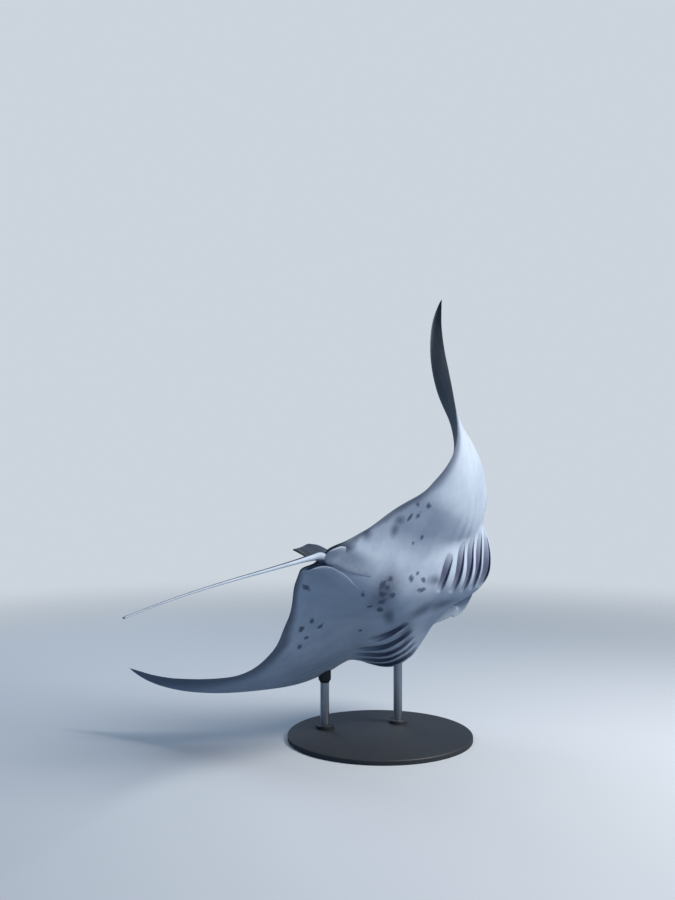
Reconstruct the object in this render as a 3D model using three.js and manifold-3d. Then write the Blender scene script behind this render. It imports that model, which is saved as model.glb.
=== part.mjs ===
// A life-size reef manta ray, gliding nose-down in a steep left bank, on a museum stand.
//
// The animal is first shaped flat and symmetric, with its mouth, eye sockets and gill slits
// cut in, and is parted there by thin cuts. Its wings and tail are then bent into the pose,
// and the posed animal is banked over the stand.
//
// Shapes are in disc widths (x forward, y to the animal's left, z towards its back) and the
// finished part is in millimetres, +Z up, with its origin under the middle of the base.

import * as THREE from 'three';
import { mergeVertices } from 'three/addons/utils/BufferGeometryUtils.js';
import Module from 'manifold-3d';

const wasm = await Module();
wasm.setup();

// ---------------------------------------------------------------- driving dimensions

const DISC_WIDTH = 3500; // mm from wing tip to wing tip, laid flat
const GAP = 0.3 / DISC_WIDTH; // between pieces that meet
const HALF = 0.5; // half the disc's width

const NOSE_DOWN = 16.1; // degrees below level
const BANK = 48.2; // degrees, left wing down
const BODY_HEIGHT = 1000; // mm from the floor to the middle of the body
const BODY_SHIFT = [-160, 180]; // mm that puts the animal's weight over the base

const RIGID = 0.13; // half width of the stiff middle of the disc
const WING_CUTS = [0.24, 0.36]; // where each wing is parted, from the midline
const TRUNK_CUT = 0.03; // x of the cut between throat and belly
const HEAD_CUT = { x: 0.15, lean: 0.45 }; // the head ends at x + lean * z = x

// Outline of the flat disc: [distance from the midline, x].
const LEADING_EDGE = [
  [0, 0.205], [0.04, 0.203], [0.07, 0.196], [0.095, 0.181], [0.115, 0.165], [0.138, 0.1555],
  [0.149, 0.146], [0.155, 0.139], [0.16, 0.131], [0.166, 0.1215], [0.173, 0.1165],
  [0.182, 0.1162], [0.19, 0.1188], [0.198, 0.1203], [0.206, 0.1185], [0.22, 0.109], [0.25, 0.088],
  [0.3, 0.048], [0.35, 0.005], [0.4, -0.04], [0.45, -0.088], [0.48, -0.12], [0.5, -0.15],
];
const TRAILING_EDGE = [
  [0, -0.245], [0.03, -0.243], [0.06, -0.225], [0.1, -0.195], [0.15, -0.165], [0.2, -0.142],
  [0.25, -0.127], [0.3, -0.118], [0.35, -0.116], [0.4, -0.12], [0.45, -0.132],
  [0.48, -0.143], [0.5, -0.15],
];

// Greatest height of the wing above and below its middle plane: [distance out, height].
const WING_TOP = [
  [0, 0.024], [0.1, 0.024], [0.15, 0.022], [0.2, 0.0175], [0.3, 0.0105], [0.4, 0.006],
  [0.47, 0.0033], [0.5, 0.0012],
];
const WING_BOTTOM = [
  [0, 0.022], [0.1, 0.022], [0.15, 0.02], [0.2, 0.0155], [0.3, 0.0095], [0.4, 0.0055],
  [0.47, 0.003], [0.5, 0.001],
];

// What the body adds to the wing along the midline, and how far out it spreads: [x, size].
// The throat is a little hollow between the gills, by a share of the belly's size.
const BACK = [
  [-0.245, 0.003], [-0.2, 0.01], [-0.12, 0.02], [-0.04, 0.03], [0.04, 0.036], [0.1, 0.036],
  [0.15, 0.03], [0.19, 0.021], [0.205, 0.017],
];
const BELLY = [
  [-0.245, 0.013], [-0.2, 0.017], [-0.12, 0.024], [-0.04, 0.032], [0.03, 0.042], [0.09, 0.05],
  [0.13, 0.051], [0.165, 0.044], [0.19, 0.033], [0.205, 0.024],
];
const BACK_SPREAD = [
  [-0.245, 0.05], [-0.2, 0.07], [-0.1, 0.11], [0, 0.14], [0.08, 0.15], [0.14, 0.135],
  [0.205, 0.13],
];
const BELLY_SPREAD = [
  [-0.245, 0.05], [-0.2, 0.07], [-0.1, 0.1], [0, 0.115], [0.05, 0.137], [0.1, 0.165],
  [0.14, 0.177], [0.17, 0.157], [0.205, 0.125],
];

const THROAT_HOLLOW = [
  [-0.245, 0], [0, 0], [0.06, 0.07], [0.12, 0.26], [0.17, 0.34], [0.205, 0.2],
];
// The swelling over the front gills, on each side.
const GILL_BULGE = { x: 0.135, out: 0.136, along: 0.06, across: 0.042, height: 0.0065 };

const MOUTH = { x: 0.21, z: -0.006, depth: 0.075, halfWidth: 0.07, halfHeight: 0.014 };
const EYE = { x: 0.159, y: 0.1125, z: 0.003, radius: 0.0085 };

// Gill slits, front to back: the lip's inner and outer ends in plan, [x, distance out]. The
// first runs close behind the edge of the head and gapes the widest.
const GILLS = [
  { inner: [0.147, 0.089], outer: [0.115, 0.165], bow: 0.004, opening: 0.016 },
  { inner: [0.12, 0.079], outer: [0.097, 0.162] },
  { inner: [0.096, 0.068], outer: [0.078, 0.152] },
  { inner: [0.07, 0.058], outer: [0.058, 0.137] },
  { inner: [0.04, 0.048], outer: [0.034, 0.11] },
];
const GILL_BOW = -0.006; // how far a slit's middle lies in front of the line between its ends
const GILL_OPENING = 0.011;
const GILL_DEPTH = 0.016;

const CEPHALIC_FIN = {
  root: [0.178, 0.092], // middle of the root: x and distance out
  length: 0.122,
  depth: 0.023, // half of the blade's height
  thickness: 0.0042, // half
};
// Each blade's height at the root, its direction there and how much further it curls towards
// the midline by the tip (degrees), and how far it sinks by then.
const CEPHALIC_POSE = {
  '-1': { z: -0.0069, heading: 16, curl: 99, droop: 0.0236 },
  1: { z: 0.003, heading: 53.5, curl: 28, droop: 0.031 },
};
// The fin on the tail's root: its upper and lower edges as [x, z], and half its thickness.
const DORSAL_FIN = {
  top: [
    [-0.33, 0.0184], [-0.302, 0.0186], [-0.275, 0.02], [-0.25, 0.0255], [-0.22, 0.031],
    [-0.2, 0.029], [-0.185, 0.017],
  ],
  bottom: [[-0.33, 0.0184], [-0.314, 0.007], [-0.306, -0.001], [-0.295, -0.008], [-0.185, -0.008]],
  thickness: 0.0042,
};
const PELVIC_FIN = {
  front: -0.135, rear: -0.281, y: 0.0185, halfWidth: 0.017, thickness: 0.004,
  free: -0.225, // where the lobe leaves the belly, to droop under the tail
  droop: 0.009,
};

const TAIL = { start: -0.228, z: -0.003, length: 0.65 };
const TAIL_RADIUS = [
  [0, 0.006], [0.025, 0.0092], [0.05, 0.0075], [0.12, 0.004], [0.3, 0.0022], [0.65, 0.001],
];
const TAIL_CUTS = [0.1, 0.3]; // from the tail's start

// The stand, in millimetres: a round base and two rods, each with a collar and a saddle.
const BASE = { radius: 580, thickness: 30, edge: 8 };
const ROD_RADIUS = 28;
const COLLAR = { radius: 58, height: 24, edge: 6 };
const SADDLE = { radius: 40, flare: 20, reach: 78 }; // reach is how far up it would go uncut
const RODS = {
  head: { at: [10, -275], top: 462 },
  wing: { at: [360, 70], top: 322 },
};
const CLEARANCE = 0.3; // between pieces of the stand

// ---------------------------------------------------------------- the pose

// Bend of each wing by distance from the midline. lift turns the wing towards the back,
// sweep turns it backward, twist raises its leading edge (degrees); camber arches it.
const BEND_AT = [0, 0.065, RIGID, 0.2, 0.3, 0.4, 0.5];
const RIGHT_WING = {
  side: -1,
  lift: [28, 57, 70, 60],
  sweep: [7, 13, 6, -1],
  twist: [4, 13, 36, 65],
  camber: [-0.2, 1.1, 0, -0.3],
};
const LEFT_WING = {
  side: 1,
  lift: [7, 31, 36, 42],
  sweep: [2, 0, -7, -12],
  twist: [4, 0, -13, -43],
  camber: [-0.2, 0.1, 0, -0.1],
};
// How far the disc's rear margin beside the tail is flexed towards the back.
const REAR_FLEX = { '-1': -0.008, 1: 0.014 };
// The tail's slope below the body's axis and its turn to the left, in degrees: [along, angle].
const TAIL_DROP = [[0, 0], [0.015, 0], [0.05, 20], [0.3, 19.7], [0.65, 23]];
const TAIL_TURN = [[0, 0], [0.015, 0], [0.05, 2.9], [0.3, 2.8], [0.65, 2.8]];

// ---------------------------------------------------------------- curves

const radians = (degrees) => (degrees * Math.PI) / 180;
const clamp01 = (t) => Math.min(Math.max(t, 0), 1);
const smooth = (from, to, x) => {
  const t = clamp01((x - from) / (to - from));
  return t * t * (3 - 2 * t);
};
const round = (d, r) => Math.sqrt(1 - (1 - clamp01(d / r)) ** 2); // a quarter of an ellipse

/** Slope at the end of a monotone curve, from its first two spans. */
function endSlope(h0, h1, d0, d1) {
  const slope = ((2 * h0 + h1) * d0 - h0 * d1) / (h0 + h1);
  if (slope * d0 <= 0) return 0;
  return d0 * d1 <= 0 && Math.abs(slope) > 3 * Math.abs(d0) ? 3 * d0 : slope;
}

/** A smooth curve through [x, y] points that never overshoots them. */
function curve(points) {
  const n = points.length;
  const h = [];
  const d = [];
  for (let i = 0; i < n - 1; i++) {
    h.push(points[i + 1][0] - points[i][0]);
    d.push((points[i + 1][1] - points[i][1]) / h[i]);
  }
  const slope = new Array(n).fill(0);
  for (let i = 1; i < n - 1; i++) {
    if (d[i - 1] * d[i] <= 0) continue;
    const before = 2 * h[i] + h[i - 1];
    const after = h[i] + 2 * h[i - 1];
    slope[i] = (before + after) / (before / d[i - 1] + after / d[i]);
  }
  slope[0] = endSlope(h[0], h[1], d[0], d[1]);
  slope[n - 1] = endSlope(h[n - 2], h[n - 3], d[n - 2], d[n - 3]);
  return (x) => {
    let i = 0;
    while (i < n - 2 && x > points[i + 1][0]) i++;
    const t = clamp01((x - points[i][0]) / h[i]);
    const rise = points[i + 1][1] - points[i][1];
    return points[i][1] + rise * t * t * (3 - 2 * t)
      + h[i] * t * (1 - t) * (slope[i] * (1 - t) - slope[i + 1] * t);
  };
}

// ---------------------------------------------------------------- solids

/** A triangle soup's positions as a manifold solid, with equal points merged. */
function solidOf(geometry) {
  const bare = new THREE.BufferGeometry();
  bare.setAttribute('position', geometry.getAttribute('position').clone());
  if (geometry.index) bare.setIndex(geometry.index.clone());
  const merged = mergeVertices(bare, 1e-6);
  return new wasm.Manifold(new wasm.Mesh({
    numProp: 3,
    vertProperties: new Float32Array(merged.getAttribute('position').array),
    triVerts: new Uint32Array(merged.index.array),
  }));
}

/** A solid's positions and triangles as a geometry. */
function geometryOf(solid) {
  const mesh = solid.getMesh();
  const geometry = new THREE.BufferGeometry();
  geometry.setAttribute('position', new THREE.BufferAttribute(mesh.vertProperties, 3));
  geometry.setIndex([...mesh.triVerts]);
  return geometry;
}

/** A closed skin over a row of rings; a ring of one point is a tip, an open end is capped. */
function loft(rings) {
  const points = [];
  const faces = [];
  const starts = rings.map((ring) => {
    const start = points.length / 3;
    ring.forEach((p) => points.push(...p));
    return start;
  });
  const fan = (ring, start, facing) => {
    const hub = points.length / 3;
    points.push(...[0, 1, 2].map((k) => ring.reduce((sum, p) => sum + p[k], 0) / ring.length));
    ring.forEach((_, j) => {
      const next = (j + 1) % ring.length;
      faces.push(...(facing ? [hub, start + j, start + next] : [hub, start + next, start + j]));
    });
  };
  if (rings[0].length > 1) fan(rings[0], starts[0], true);
  if (rings.at(-1).length > 1) fan(rings.at(-1), starts.at(-1), false);
  for (let i = 0; i < rings.length - 1; i++) {
    const [a, b] = [rings[i].length, rings[i + 1].length];
    for (let j = 0; j < Math.max(a, b); j++) {
      const k = j + 1;
      const [a0, a1] = [starts[i] + (j % a), starts[i] + (k % a)];
      const [b0, b1] = [starts[i + 1] + (j % b), starts[i + 1] + (k % b)];
      if (a > 1) faces.push(a0, b0, a1);
      if (b > 1) faces.push(a1, b0, b1);
    }
  }
  const geometry = new THREE.BufferGeometry();
  geometry.setAttribute('position', new THREE.Float32BufferAttribute(points, 3));
  geometry.setIndex(faces);
  const made = solidOf(geometry);
  if (made.volume() > 0) return made;
  for (let i = 0; i < faces.length; i += 3) [faces[i], faces[i + 1]] = [faces[i + 1], faces[i]];
  geometry.setIndex(faces);
  return solidOf(geometry);
}

/** A solid turned about the upright axis through a point: [radius, height] from below. */
function turned(profile, [x, y], sides) {
  return loft(profile.map(([radius, z]) => Array.from({ length: sides }, (_, j) => {
    const at = (2 * Math.PI * j) / sides;
    return [x + radius * Math.cos(at), y + radius * Math.sin(at), z];
  })));
}

/** A box between two corners. */
function block(low, high) {
  const size = high.map((value, k) => value - low[k]);
  const middle = high.map((value, k) => (value + low[k]) / 2);
  return solidOf(new THREE.BoxGeometry(...size).translate(...middle));
}

/** An ellipsoid with the given centre and half axes. */
function ellipsoid(centre, halfAxes, detail) {
  const ball = new THREE.SphereGeometry(1, detail, detail / 2);
  return solidOf(ball.scale(...halfAxes).translate(...centre));
}

// ---------------------------------------------------------------- the flat animal

const leading = curve(LEADING_EDGE);
const trailing = curve(TRAILING_EDGE);
const wingTop = curve(WING_TOP);
const wingBottom = curve(WING_BOTTOM);
const back = curve(BACK);
const belly = curve(BELLY);
const backSpread = curve(BACK_SPREAD);
const bellySpread = curve(BELLY_SPREAD);
const throatHollow = curve(THROAT_HOLLOW);

/** Aerofoil height, 0 to 1, at a fraction of the chord from the trailing edge. */
const aerofoil = (t) => (t * (1 - t) ** 0.55) / 0.3648;

/** How much of the back's or belly's midline height is left at a distance out. */
function shoulder(side, x, out) {
  const t = clamp01(out / (side > 0 ? backSpread : bellySpread)(x));
  const squareness = side > 0 ? 2 + 2 * smooth(0.08, 0.16, x) : 2 + 3.5 * smooth(-0.04, 0.08, x);
  const hollow = side > 0 ? 0 : throatHollow(x) * (1 - smooth(0.015, 0.09, out));
  return (1 - t ** squareness) ** 1.8 - hollow;
}

/** A smooth bump, 1 at the middle and 0 from one reach away. */
const bump = (distance, reach) => (1 - clamp01(Math.abs(distance / reach)) ** 2) ** 2;

/** Height of the flat animal's upper (side 1) or lower (side -1) surface at a point. */
function surface(side, x, out) {
  const [front, rear] = [leading(out), trailing(out)];
  const t = clamp01((x - rear) / Math.max(front - rear, 1e-6));
  const ends = round(front - x, 0.03) * round(x - rear, 0.014);
  const wing = (side > 0 ? wingTop(out) : wingBottom(out)) * aerofoil(t);
  const body = (side > 0 ? back(x) : belly(x)) * shoulder(side, x, out) * ends;
  if (side > 0) return wing + body;
  const bulge = GILL_BULGE;
  const swell = bump(x - bulge.x, bulge.along) * bump(out - bulge.out, bulge.across);
  return -(wing + body + bulge.height * swell);
}

/** Spanwise stations, close over the body and wider along the wings. */
function stations() {
  const half = [];
  for (let y = 0.009; y < 0.18; y += 0.018) half.push(y);
  const left = 11;
  const start = half.at(-1);
  for (let i = 1; i < left; i++) half.push(start + (HALF - start) * (i / left) ** 0.92);
  return [-HALF, ...half.map((y) => -y).reverse(), ...half, HALF];
}

/** The disc and body as one solid, thickened all round by a margin. */
function disc(margin = 0) {
  const CHORD_STEPS = 17;
  return loft(stations().map((y) => {
    const out = Math.abs(y);
    if (out === HALF) return [[leading(HALF), y + Math.sign(y) * margin, 0]];
    const ring = [];
    for (let j = 0; j < 2 * CHORD_STEPS; j++) {
      const side = j <= CHORD_STEPS ? 1 : -1;
      const t = (1 - Math.cos((Math.PI * j) / CHORD_STEPS)) / 2;
      const x = trailing(out) + (leading(out) - trailing(out)) * t;
      const edge = Math.cos((Math.PI * j) / CHORD_STEPS);
      const lift = Math.sin((Math.PI * j) / CHORD_STEPS);
      const tip = j % CHORD_STEPS === 0;
      const z = tip ? 0 : surface(side, x, out);
      ring.push([x - edge * margin, y, z + Math.sign(lift) * (tip ? 0 : margin)]);
    }
    return ring;
  }));
}

/** One gill slit: a wedge that leans forward under its front lip. */
function gillWedge({ inner, outer, bow = GILL_BOW, opening = GILL_OPENING }, side) {
  const STEPS = 6;
  const rings = [];
  for (let i = 0; i <= STEPS; i++) {
    const t = i / STEPS;
    const taper = 0.25 + 0.75 * Math.sqrt(Math.sin(Math.PI * (0.04 + 0.92 * t)));
    const out = inner[1] + (outer[1] - inner[1]) * t;
    const x = inner[0] + (outer[0] - inner[0]) * t + bow * Math.sin(Math.PI * t);
    const rear = x - opening * taper;
    const skin = Math.min(surface(-1, x, out), surface(-1, rear, out));
    const thickness = surface(1, x, out) - surface(-1, x, out);
    const depth = Math.min(GILL_DEPTH, 0.4 * thickness);
    const y = side * out;
    rings.push([
      [x + 0.002, y, skin - 0.01],
      [rear - 0.004, y, skin - 0.01],
      [rear, y, surface(-1, rear, out) + 0.001],
      [x + 0.004, y, surface(-1, x, out) + depth * taper],
      [x, y, surface(-1, x, out) + 0.001],
    ]);
  }
  return loft(rings);
}

/** The blade in front of the mouth's corner, curling towards the midline. */
function cephalicFin(side) {
  const { root, length, depth, thickness } = CEPHALIC_FIN;
  const { z: high, heading, curl, droop } = CEPHALIC_POSE[side];
  const STEPS = 11;
  const ROUND = 10;
  const ROOTED = 0.03; // how far the blade reaches back inside the head
  const SINK = 2; // how late along the blade it sinks
  const step = (length + ROOTED) / STEPS;
  const rings = [];
  let [x, y] = [root[0] - ROOTED, root[1]];
  for (let i = 0; i <= STEPS; i++) {
    const along = i * step - ROOTED;
    const t = clamp01(along / length);
    const turn = radians(heading * smooth(-0.02, 0.02, along) + curl * t ** 1.2);
    if (i > 0) x += step * Math.cos(turn);
    if (i > 0) y -= step * Math.sin(turn);
    const z = high - droop * t ** SINK;
    if (i === STEPS) {
      rings.push([[x, side * y, z]]);
      continue;
    }
    const tall = depth * (1 - 0.25 * t) * round(1 - t, 0.3);
    const thick = thickness * (1 - 0.45 * t) * round(1 - t, 0.08);
    const ring = [];
    for (let j = 0; j < ROUND; j++) {
      const turnAt = (2 * Math.PI * j) / ROUND;
      const across = thick * Math.cos(turnAt);
      ring.push([
        x + across * Math.sin(turn),
        side * (y + across * Math.cos(turn)),
        z + tall * Math.sin(turnAt),
      ]);
    }
    rings.push(ring);
  }
  return loft(rings);
}

/** The small fin on the root of the tail, raked back to a point. */
function dorsalFin() {
  const top = curve(DORSAL_FIN.top);
  const bottom = curve(DORSAL_FIN.bottom);
  const [apex, front] = [DORSAL_FIN.top[0][0], DORSAL_FIN.top.at(-1)[0]];
  const STEPS = 9;
  const ROUND = 8;
  const rings = [[[apex, 0, top(apex)]]];
  for (let i = 1; i <= STEPS; i++) {
    const t = i / STEPS;
    const x = apex + (front - apex) * t ** 1.3;
    const thick = DORSAL_FIN.thickness * round(t, 0.8);
    const tall = (top(x) - bottom(x)) / 2;
    const ring = [];
    for (let j = 0; j < ROUND; j++) {
      const at = (2 * Math.PI * j) / ROUND;
      ring.push([x, thick * Math.cos(at), bottom(x) + tall * (1 + Math.sin(at))]);
    }
    rings.push(ring);
  }
  return loft(rings);
}

/** The flat lobe between the root of the tail and the disc, lying on the belly. */
function pelvicFin(side) {
  const { front, rear, y, halfWidth, thickness, free, droop } = PELVIC_FIN;
  const STEPS = 8;
  const ROUND = 8;
  const rings = [];
  for (let i = 0; i <= STEPS; i++) {
    const t = i / STEPS;
    const x = front + (rear - front) * t;
    const z = surface(-1, Math.max(x, free), y) + 0.002 - droop * smooth(free, rear, x);
    if (i === STEPS) {
      rings.push([[x, side * y, z]]);
      continue;
    }
    const wide = halfWidth * (0.35 + 0.65 * smooth(0, 0.6, t)) * round(1 - t, 0.25);
    const thick = thickness * (1 - 0.4 * t) * round(1 - t, 0.1);
    const ring = [];
    for (let j = 0; j < ROUND; j++) {
      const at = (2 * Math.PI * j) / ROUND;
      ring.push([x, side * (y + wide * Math.cos(at)), z + thick * Math.sin(at)]);
    }
    rings.push(ring);
  }
  return loft(rings);
}

/** The whip, still straight behind the body, thickened by a margin. */
function tail(margin = 0) {
  const { start, z, length } = TAIL;
  const radius = curve(TAIL_RADIUS);
  const STEPS = 21;
  const ROUND = 8;
  const rings = [];
  for (let i = 0; i <= STEPS; i++) {
    const along = length * (i / STEPS) ** 1.15;
    const r = radius(along) + margin;
    const ring = [];
    for (let j = 0; j < ROUND; j++) {
      const at = (2 * Math.PI * j) / ROUND;
      ring.push([start - along, r * Math.cos(at), z + r * Math.sin(at)]);
    }
    rings.push(ring);
  }
  return loft(rings);
}

// ---------------------------------------------------------------- bending into the pose

/** Frames along a wing: where each chord's middle goes, and its forward and up directions. */
function wingFrames({ side, lift, sweep, twist, camber }) {
  const STEPS = 200;
  const along = (values) => curve(BEND_AT.map((at, i) => [at, i < 3 ? 0 : values[i - 3]]));
  const [bend, back_, roll, arch] = [lift, sweep, twist, camber].map(along);
  const middle = (out) => (leading(out) + trailing(out)) / 2;
  const frames = [];
  for (let i = 0; i <= STEPS; i++) {
    const out = (HALF * i) / STEPS;
    const forward = new THREE.Vector3(1, 0, 0);
    const span = new THREE.Vector3(0, side, 0);
    const up = new THREE.Vector3(0, 0, 1);
    turn(span, up, radians(bend(out)));
    turn(forward, span, radians(back_(out)));
    turn(forward, up, radians(roll(out)));
    const centre = new THREE.Vector3(middle(0), 0, 0);
    if (i > 0) {
      const last = frames[i - 1];
      centre.copy(last.centre);
      centre.addScaledVector(last.span.clone().add(span), HALF / STEPS / 2);
      const shift = (middle(out) - last.middle) / 2;
      centre.addScaledVector(last.forward.clone().add(forward), shift);
    }
    frames.push({ centre, forward, span, up, middle: middle(out), arch: arch(out) });
  }
  return frames;
}

/** Turns two perpendicular directions in their own plane, the first towards the second. */
function turn(first, second, angle) {
  const [a, b] = [first.clone(), second.clone()];
  first.copy(a).multiplyScalar(Math.cos(angle)).addScaledVector(b, Math.sin(angle));
  second.copy(b).multiplyScalar(Math.cos(angle)).addScaledVector(a, -Math.sin(angle));
}

const FRAMES = { '-1': wingFrames(RIGHT_WING), 1: wingFrames(LEFT_WING) };

/** Rise of the rear margin beside the tail; none at the tail itself or at the wings. */
function rearFlex(x, y) {
  const out = Math.abs(y);
  const across = smooth(0.012, 0.045, out) * (1 - smooth(0.07, RIGID, out));
  return y === 0 ? 0 : REAR_FLEX[Math.sign(y)] * across * (1 - smooth(-0.23, -0.12, x));
}

/** Where a point of the flat disc goes when its wing is bent. */
function poseDisc([x, y, z]) {
  if (Math.abs(y) <= RIGID) return new THREE.Vector3(x, y, z + rearFlex(x, y));
  const frames = FRAMES[Math.sign(y)];
  const at = Math.min((Math.abs(y) / HALF) * (frames.length - 1), frames.length - 1);
  const [low, high] = [frames[Math.floor(at)], frames[Math.ceil(at)]];
  const t = at - Math.floor(at);
  const mix = (key) => low[key].clone().lerp(high[key], t);
  const chord = x - THREE.MathUtils.lerp(low.middle, high.middle, t);
  const height = z - THREE.MathUtils.lerp(low.arch, high.arch, t) * chord * chord;
  return mix('centre')
    .addScaledVector(mix('forward').normalize(), chord)
    .addScaledVector(mix('up').normalize(), height);
}

/** Frames along the tail: where its middle goes, and its backward, side and up directions. */
const TAIL_FRAMES = (() => {
  const STEPS = 200;
  const [drop, turnLeft] = [curve(TAIL_DROP), curve(TAIL_TURN)];
  const frames = [];
  const centre = new THREE.Vector3(TAIL.start, 0, TAIL.z);
  for (let i = 0; i <= STEPS; i++) {
    const along = (TAIL.length * i) / STEPS;
    const [down, left] = [radians(drop(along)), radians(turnLeft(along))];
    const backward = new THREE.Vector3(
      -Math.cos(down) * Math.cos(left), Math.cos(down) * Math.sin(left), -Math.sin(down),
    );
    if (i > 0) {
      const last = frames[i - 1].backward.clone();
      centre.addScaledVector(last.add(backward), TAIL.length / STEPS / 2);
    }
    const sideways = new THREE.Vector3(0, 0, 1).cross(backward).negate().normalize();
    const up = sideways.clone().cross(backward).normalize();
    frames.push({ centre: centre.clone(), backward, sideways, up });
  }
  return frames;
})();

/** Where a point of the straight tail goes when it is bent. */
function poseTail([x, y, z]) {
  const along = TAIL.start - x;
  const last = TAIL_FRAMES.length - 1;
  const at = Math.min(Math.max((along / TAIL.length) * last, 0), last);
  const [low, high] = [TAIL_FRAMES[Math.floor(at)], TAIL_FRAMES[Math.ceil(at)]];
  const t = at - Math.floor(at);
  const mix = (key) => low[key].clone().lerp(high[key], t);
  const beyond = along - (at / last) * TAIL.length;
  return mix('centre')
    .addScaledVector(mix('backward').normalize(), beyond)
    .addScaledVector(mix('sideways').normalize(), y)
    .addScaledVector(mix('up').normalize(), z - TAIL.z);
}

/** From the posed animal, in disc widths, to the room, in millimetres. */
const ROOM = (() => {
  const heading = new THREE.Matrix4().makeRotationZ(radians(-90));
  const pitch = new THREE.Matrix4().makeRotationY(radians(NOSE_DOWN));
  const bank = new THREE.Matrix4().makeRotationX(radians(-BANK));
  const scale = new THREE.Matrix4().makeScale(DISC_WIDTH, DISC_WIDTH, DISC_WIDTH);
  const place = new THREE.Matrix4().makeTranslation(...BODY_SHIFT, BODY_HEIGHT);
  return place.multiply(heading).multiply(pitch).multiply(bank).multiply(scale);
})();

/** A flat solid bent by a pose function and put in the room. */
function posed(solid, pose) {
  const mesh = solid.getMesh();
  const positions = new Float32Array(mesh.numVert * 3);
  for (let i = 0; i < mesh.numVert; i++) {
    const flat = mesh.vertProperties.slice(i * mesh.numProp, i * mesh.numProp + 3);
    pose([...flat]).applyMatrix4(ROOM).toArray(positions, 3 * i);
  }
  const geometry = new THREE.BufferGeometry();
  geometry.setAttribute('position', new THREE.BufferAttribute(positions, 3));
  geometry.setIndex([...mesh.triVerts]);
  return geometry;
}

// ---------------------------------------------------------------- parting into nodes

const SLATE = { color: 0x34393f, roughness: 0.55, metalness: 0 };
const PALE = { color: 0xc9ced3, roughness: 0.5, metalness: 0 };
const EYE_BLACK = { color: 0x0b0c0e, roughness: 0.12, metalness: 0 };
const STEEL = { color: 0x9a9da1, roughness: 0.35, metalness: 0.9 };
const PAINT = { color: 0x2c2e31, roughness: 0.5, metalness: 0.2 };

const part = new THREE.Group();
part.name = 'manta_ray';

function addNode(name, geometry, look) {
  const flat = geometry.index ? geometry.toNonIndexed() : geometry;
  flat.computeVertexNormals();
  const mesh = new THREE.Mesh(flat, new THREE.MeshStandardMaterial(look));
  mesh.name = name;
  part.add(mesh);
}

const FAR = 2;
const slab = (x0, x1, y0, y1) => block([x0, y0, -FAR], [x1, y1, FAR]);

/** Everything in front of the leaning cut behind the head, moved back by a margin. */
function headSide(margin) {
  const { x, lean } = HEAD_CUT;
  const [low, high] = [x + lean, x - lean].map((edge) => edge - margin);
  const y = RIGID + margin;
  const ring = (side) => [
    [low, side * y, -1], [FAR, side * y, -1], [FAR, side * y, 1], [high, side * y, 1],
  ];
  return loft([ring(-1), ring(1)]);
}

const plumpDisc = disc(GAP);
const plump = [posed(plumpDisc, poseDisc), posed(tail(GAP), poseTail)].map(solidOf);

/** A fin bent by a pose function and cut back to clear the disc and the tail. */
function posedFin(solid, pose) {
  let fin = solidOf(posed(solid, pose));
  for (const piece of plump) fin = fin.subtract(piece);
  return geometryOf(fin);
}

const sockets = [-1, 1].map((side) => ellipsoid(
  [EYE.x, side * EYE.y, EYE.z], new Array(3).fill(EYE.radius + GAP), 10,
));
const mouth = ellipsoid(
  [MOUTH.x, 0, MOUTH.z], [MOUTH.depth, MOUTH.halfWidth, MOUTH.halfHeight], 18,
);
let body = disc().subtract(mouth);
for (const socket of sockets) body = body.subtract(socket);
for (const side of [-1, 1]) {
  for (const gill of GILLS) body = body.subtract(gillWedge(gill, side));
}

const middle = body.intersect(slab(-FAR, FAR, -RIGID, RIGID));
const head = middle.intersect(headSide(0));
const trunk = middle.subtract(headSide(GAP));
addNode('head', posed(head, poseDisc), SLATE);
addNode('throat', posed(trunk.intersect(slab(TRUNK_CUT, FAR, -FAR, FAR)), poseDisc), PALE);
addNode('belly', posed(trunk.intersect(slab(-FAR, TRUNK_CUT - GAP, -FAR, FAR)), poseDisc), PALE);

for (const [side, label] of [[-1, 'right'], [1, 'left']]) {
  const cuts = [RIGID + GAP, ...WING_CUTS, HALF + GAP];
  ['root', 'middle', 'tip'].forEach((length, i) => {
    const span = [cuts[i] * side, (cuts[i + 1] - GAP) * side].sort((a, b) => a - b);
    const wing = body.intersect(slab(-FAR, FAR, ...span));
    addNode(`pectoral_fin_${label}_${length}`, posed(wing, poseDisc), SLATE);
  });
  addNode(`cephalic_fin_${label}`, posedFin(cephalicFin(side), poseDisc), SLATE);
  addNode(`pelvic_fin_${label}`, posedFin(pelvicFin(side), poseDisc), SLATE);
  const ball = ellipsoid([EYE.x, side * EYE.y, EYE.z], new Array(3).fill(EYE.radius), 10);
  addNode(`eye_${label}`, posed(ball, poseDisc), EYE_BLACK);
}

addNode('dorsal_fin', posedFin(dorsalFin(), poseTail), SLATE);

const whip = tail().subtract(plumpDisc);
const tailEnds = [-1, ...TAIL_CUTS, TAIL.length + 1];
['root', 'middle', 'tip'].forEach((length, i) => {
  const [near, far] = [TAIL.start - tailEnds[i] - GAP, TAIL.start - tailEnds[i + 1]];
  addNode(`tail_${length}`, posed(whip.intersect(slab(far, near, -FAR, FAR)), poseTail), SLATE);
});

// ---------------------------------------------------------------- the stand

const BASE_SIDES = 48;
const ROD_SIDES = 18;

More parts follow.
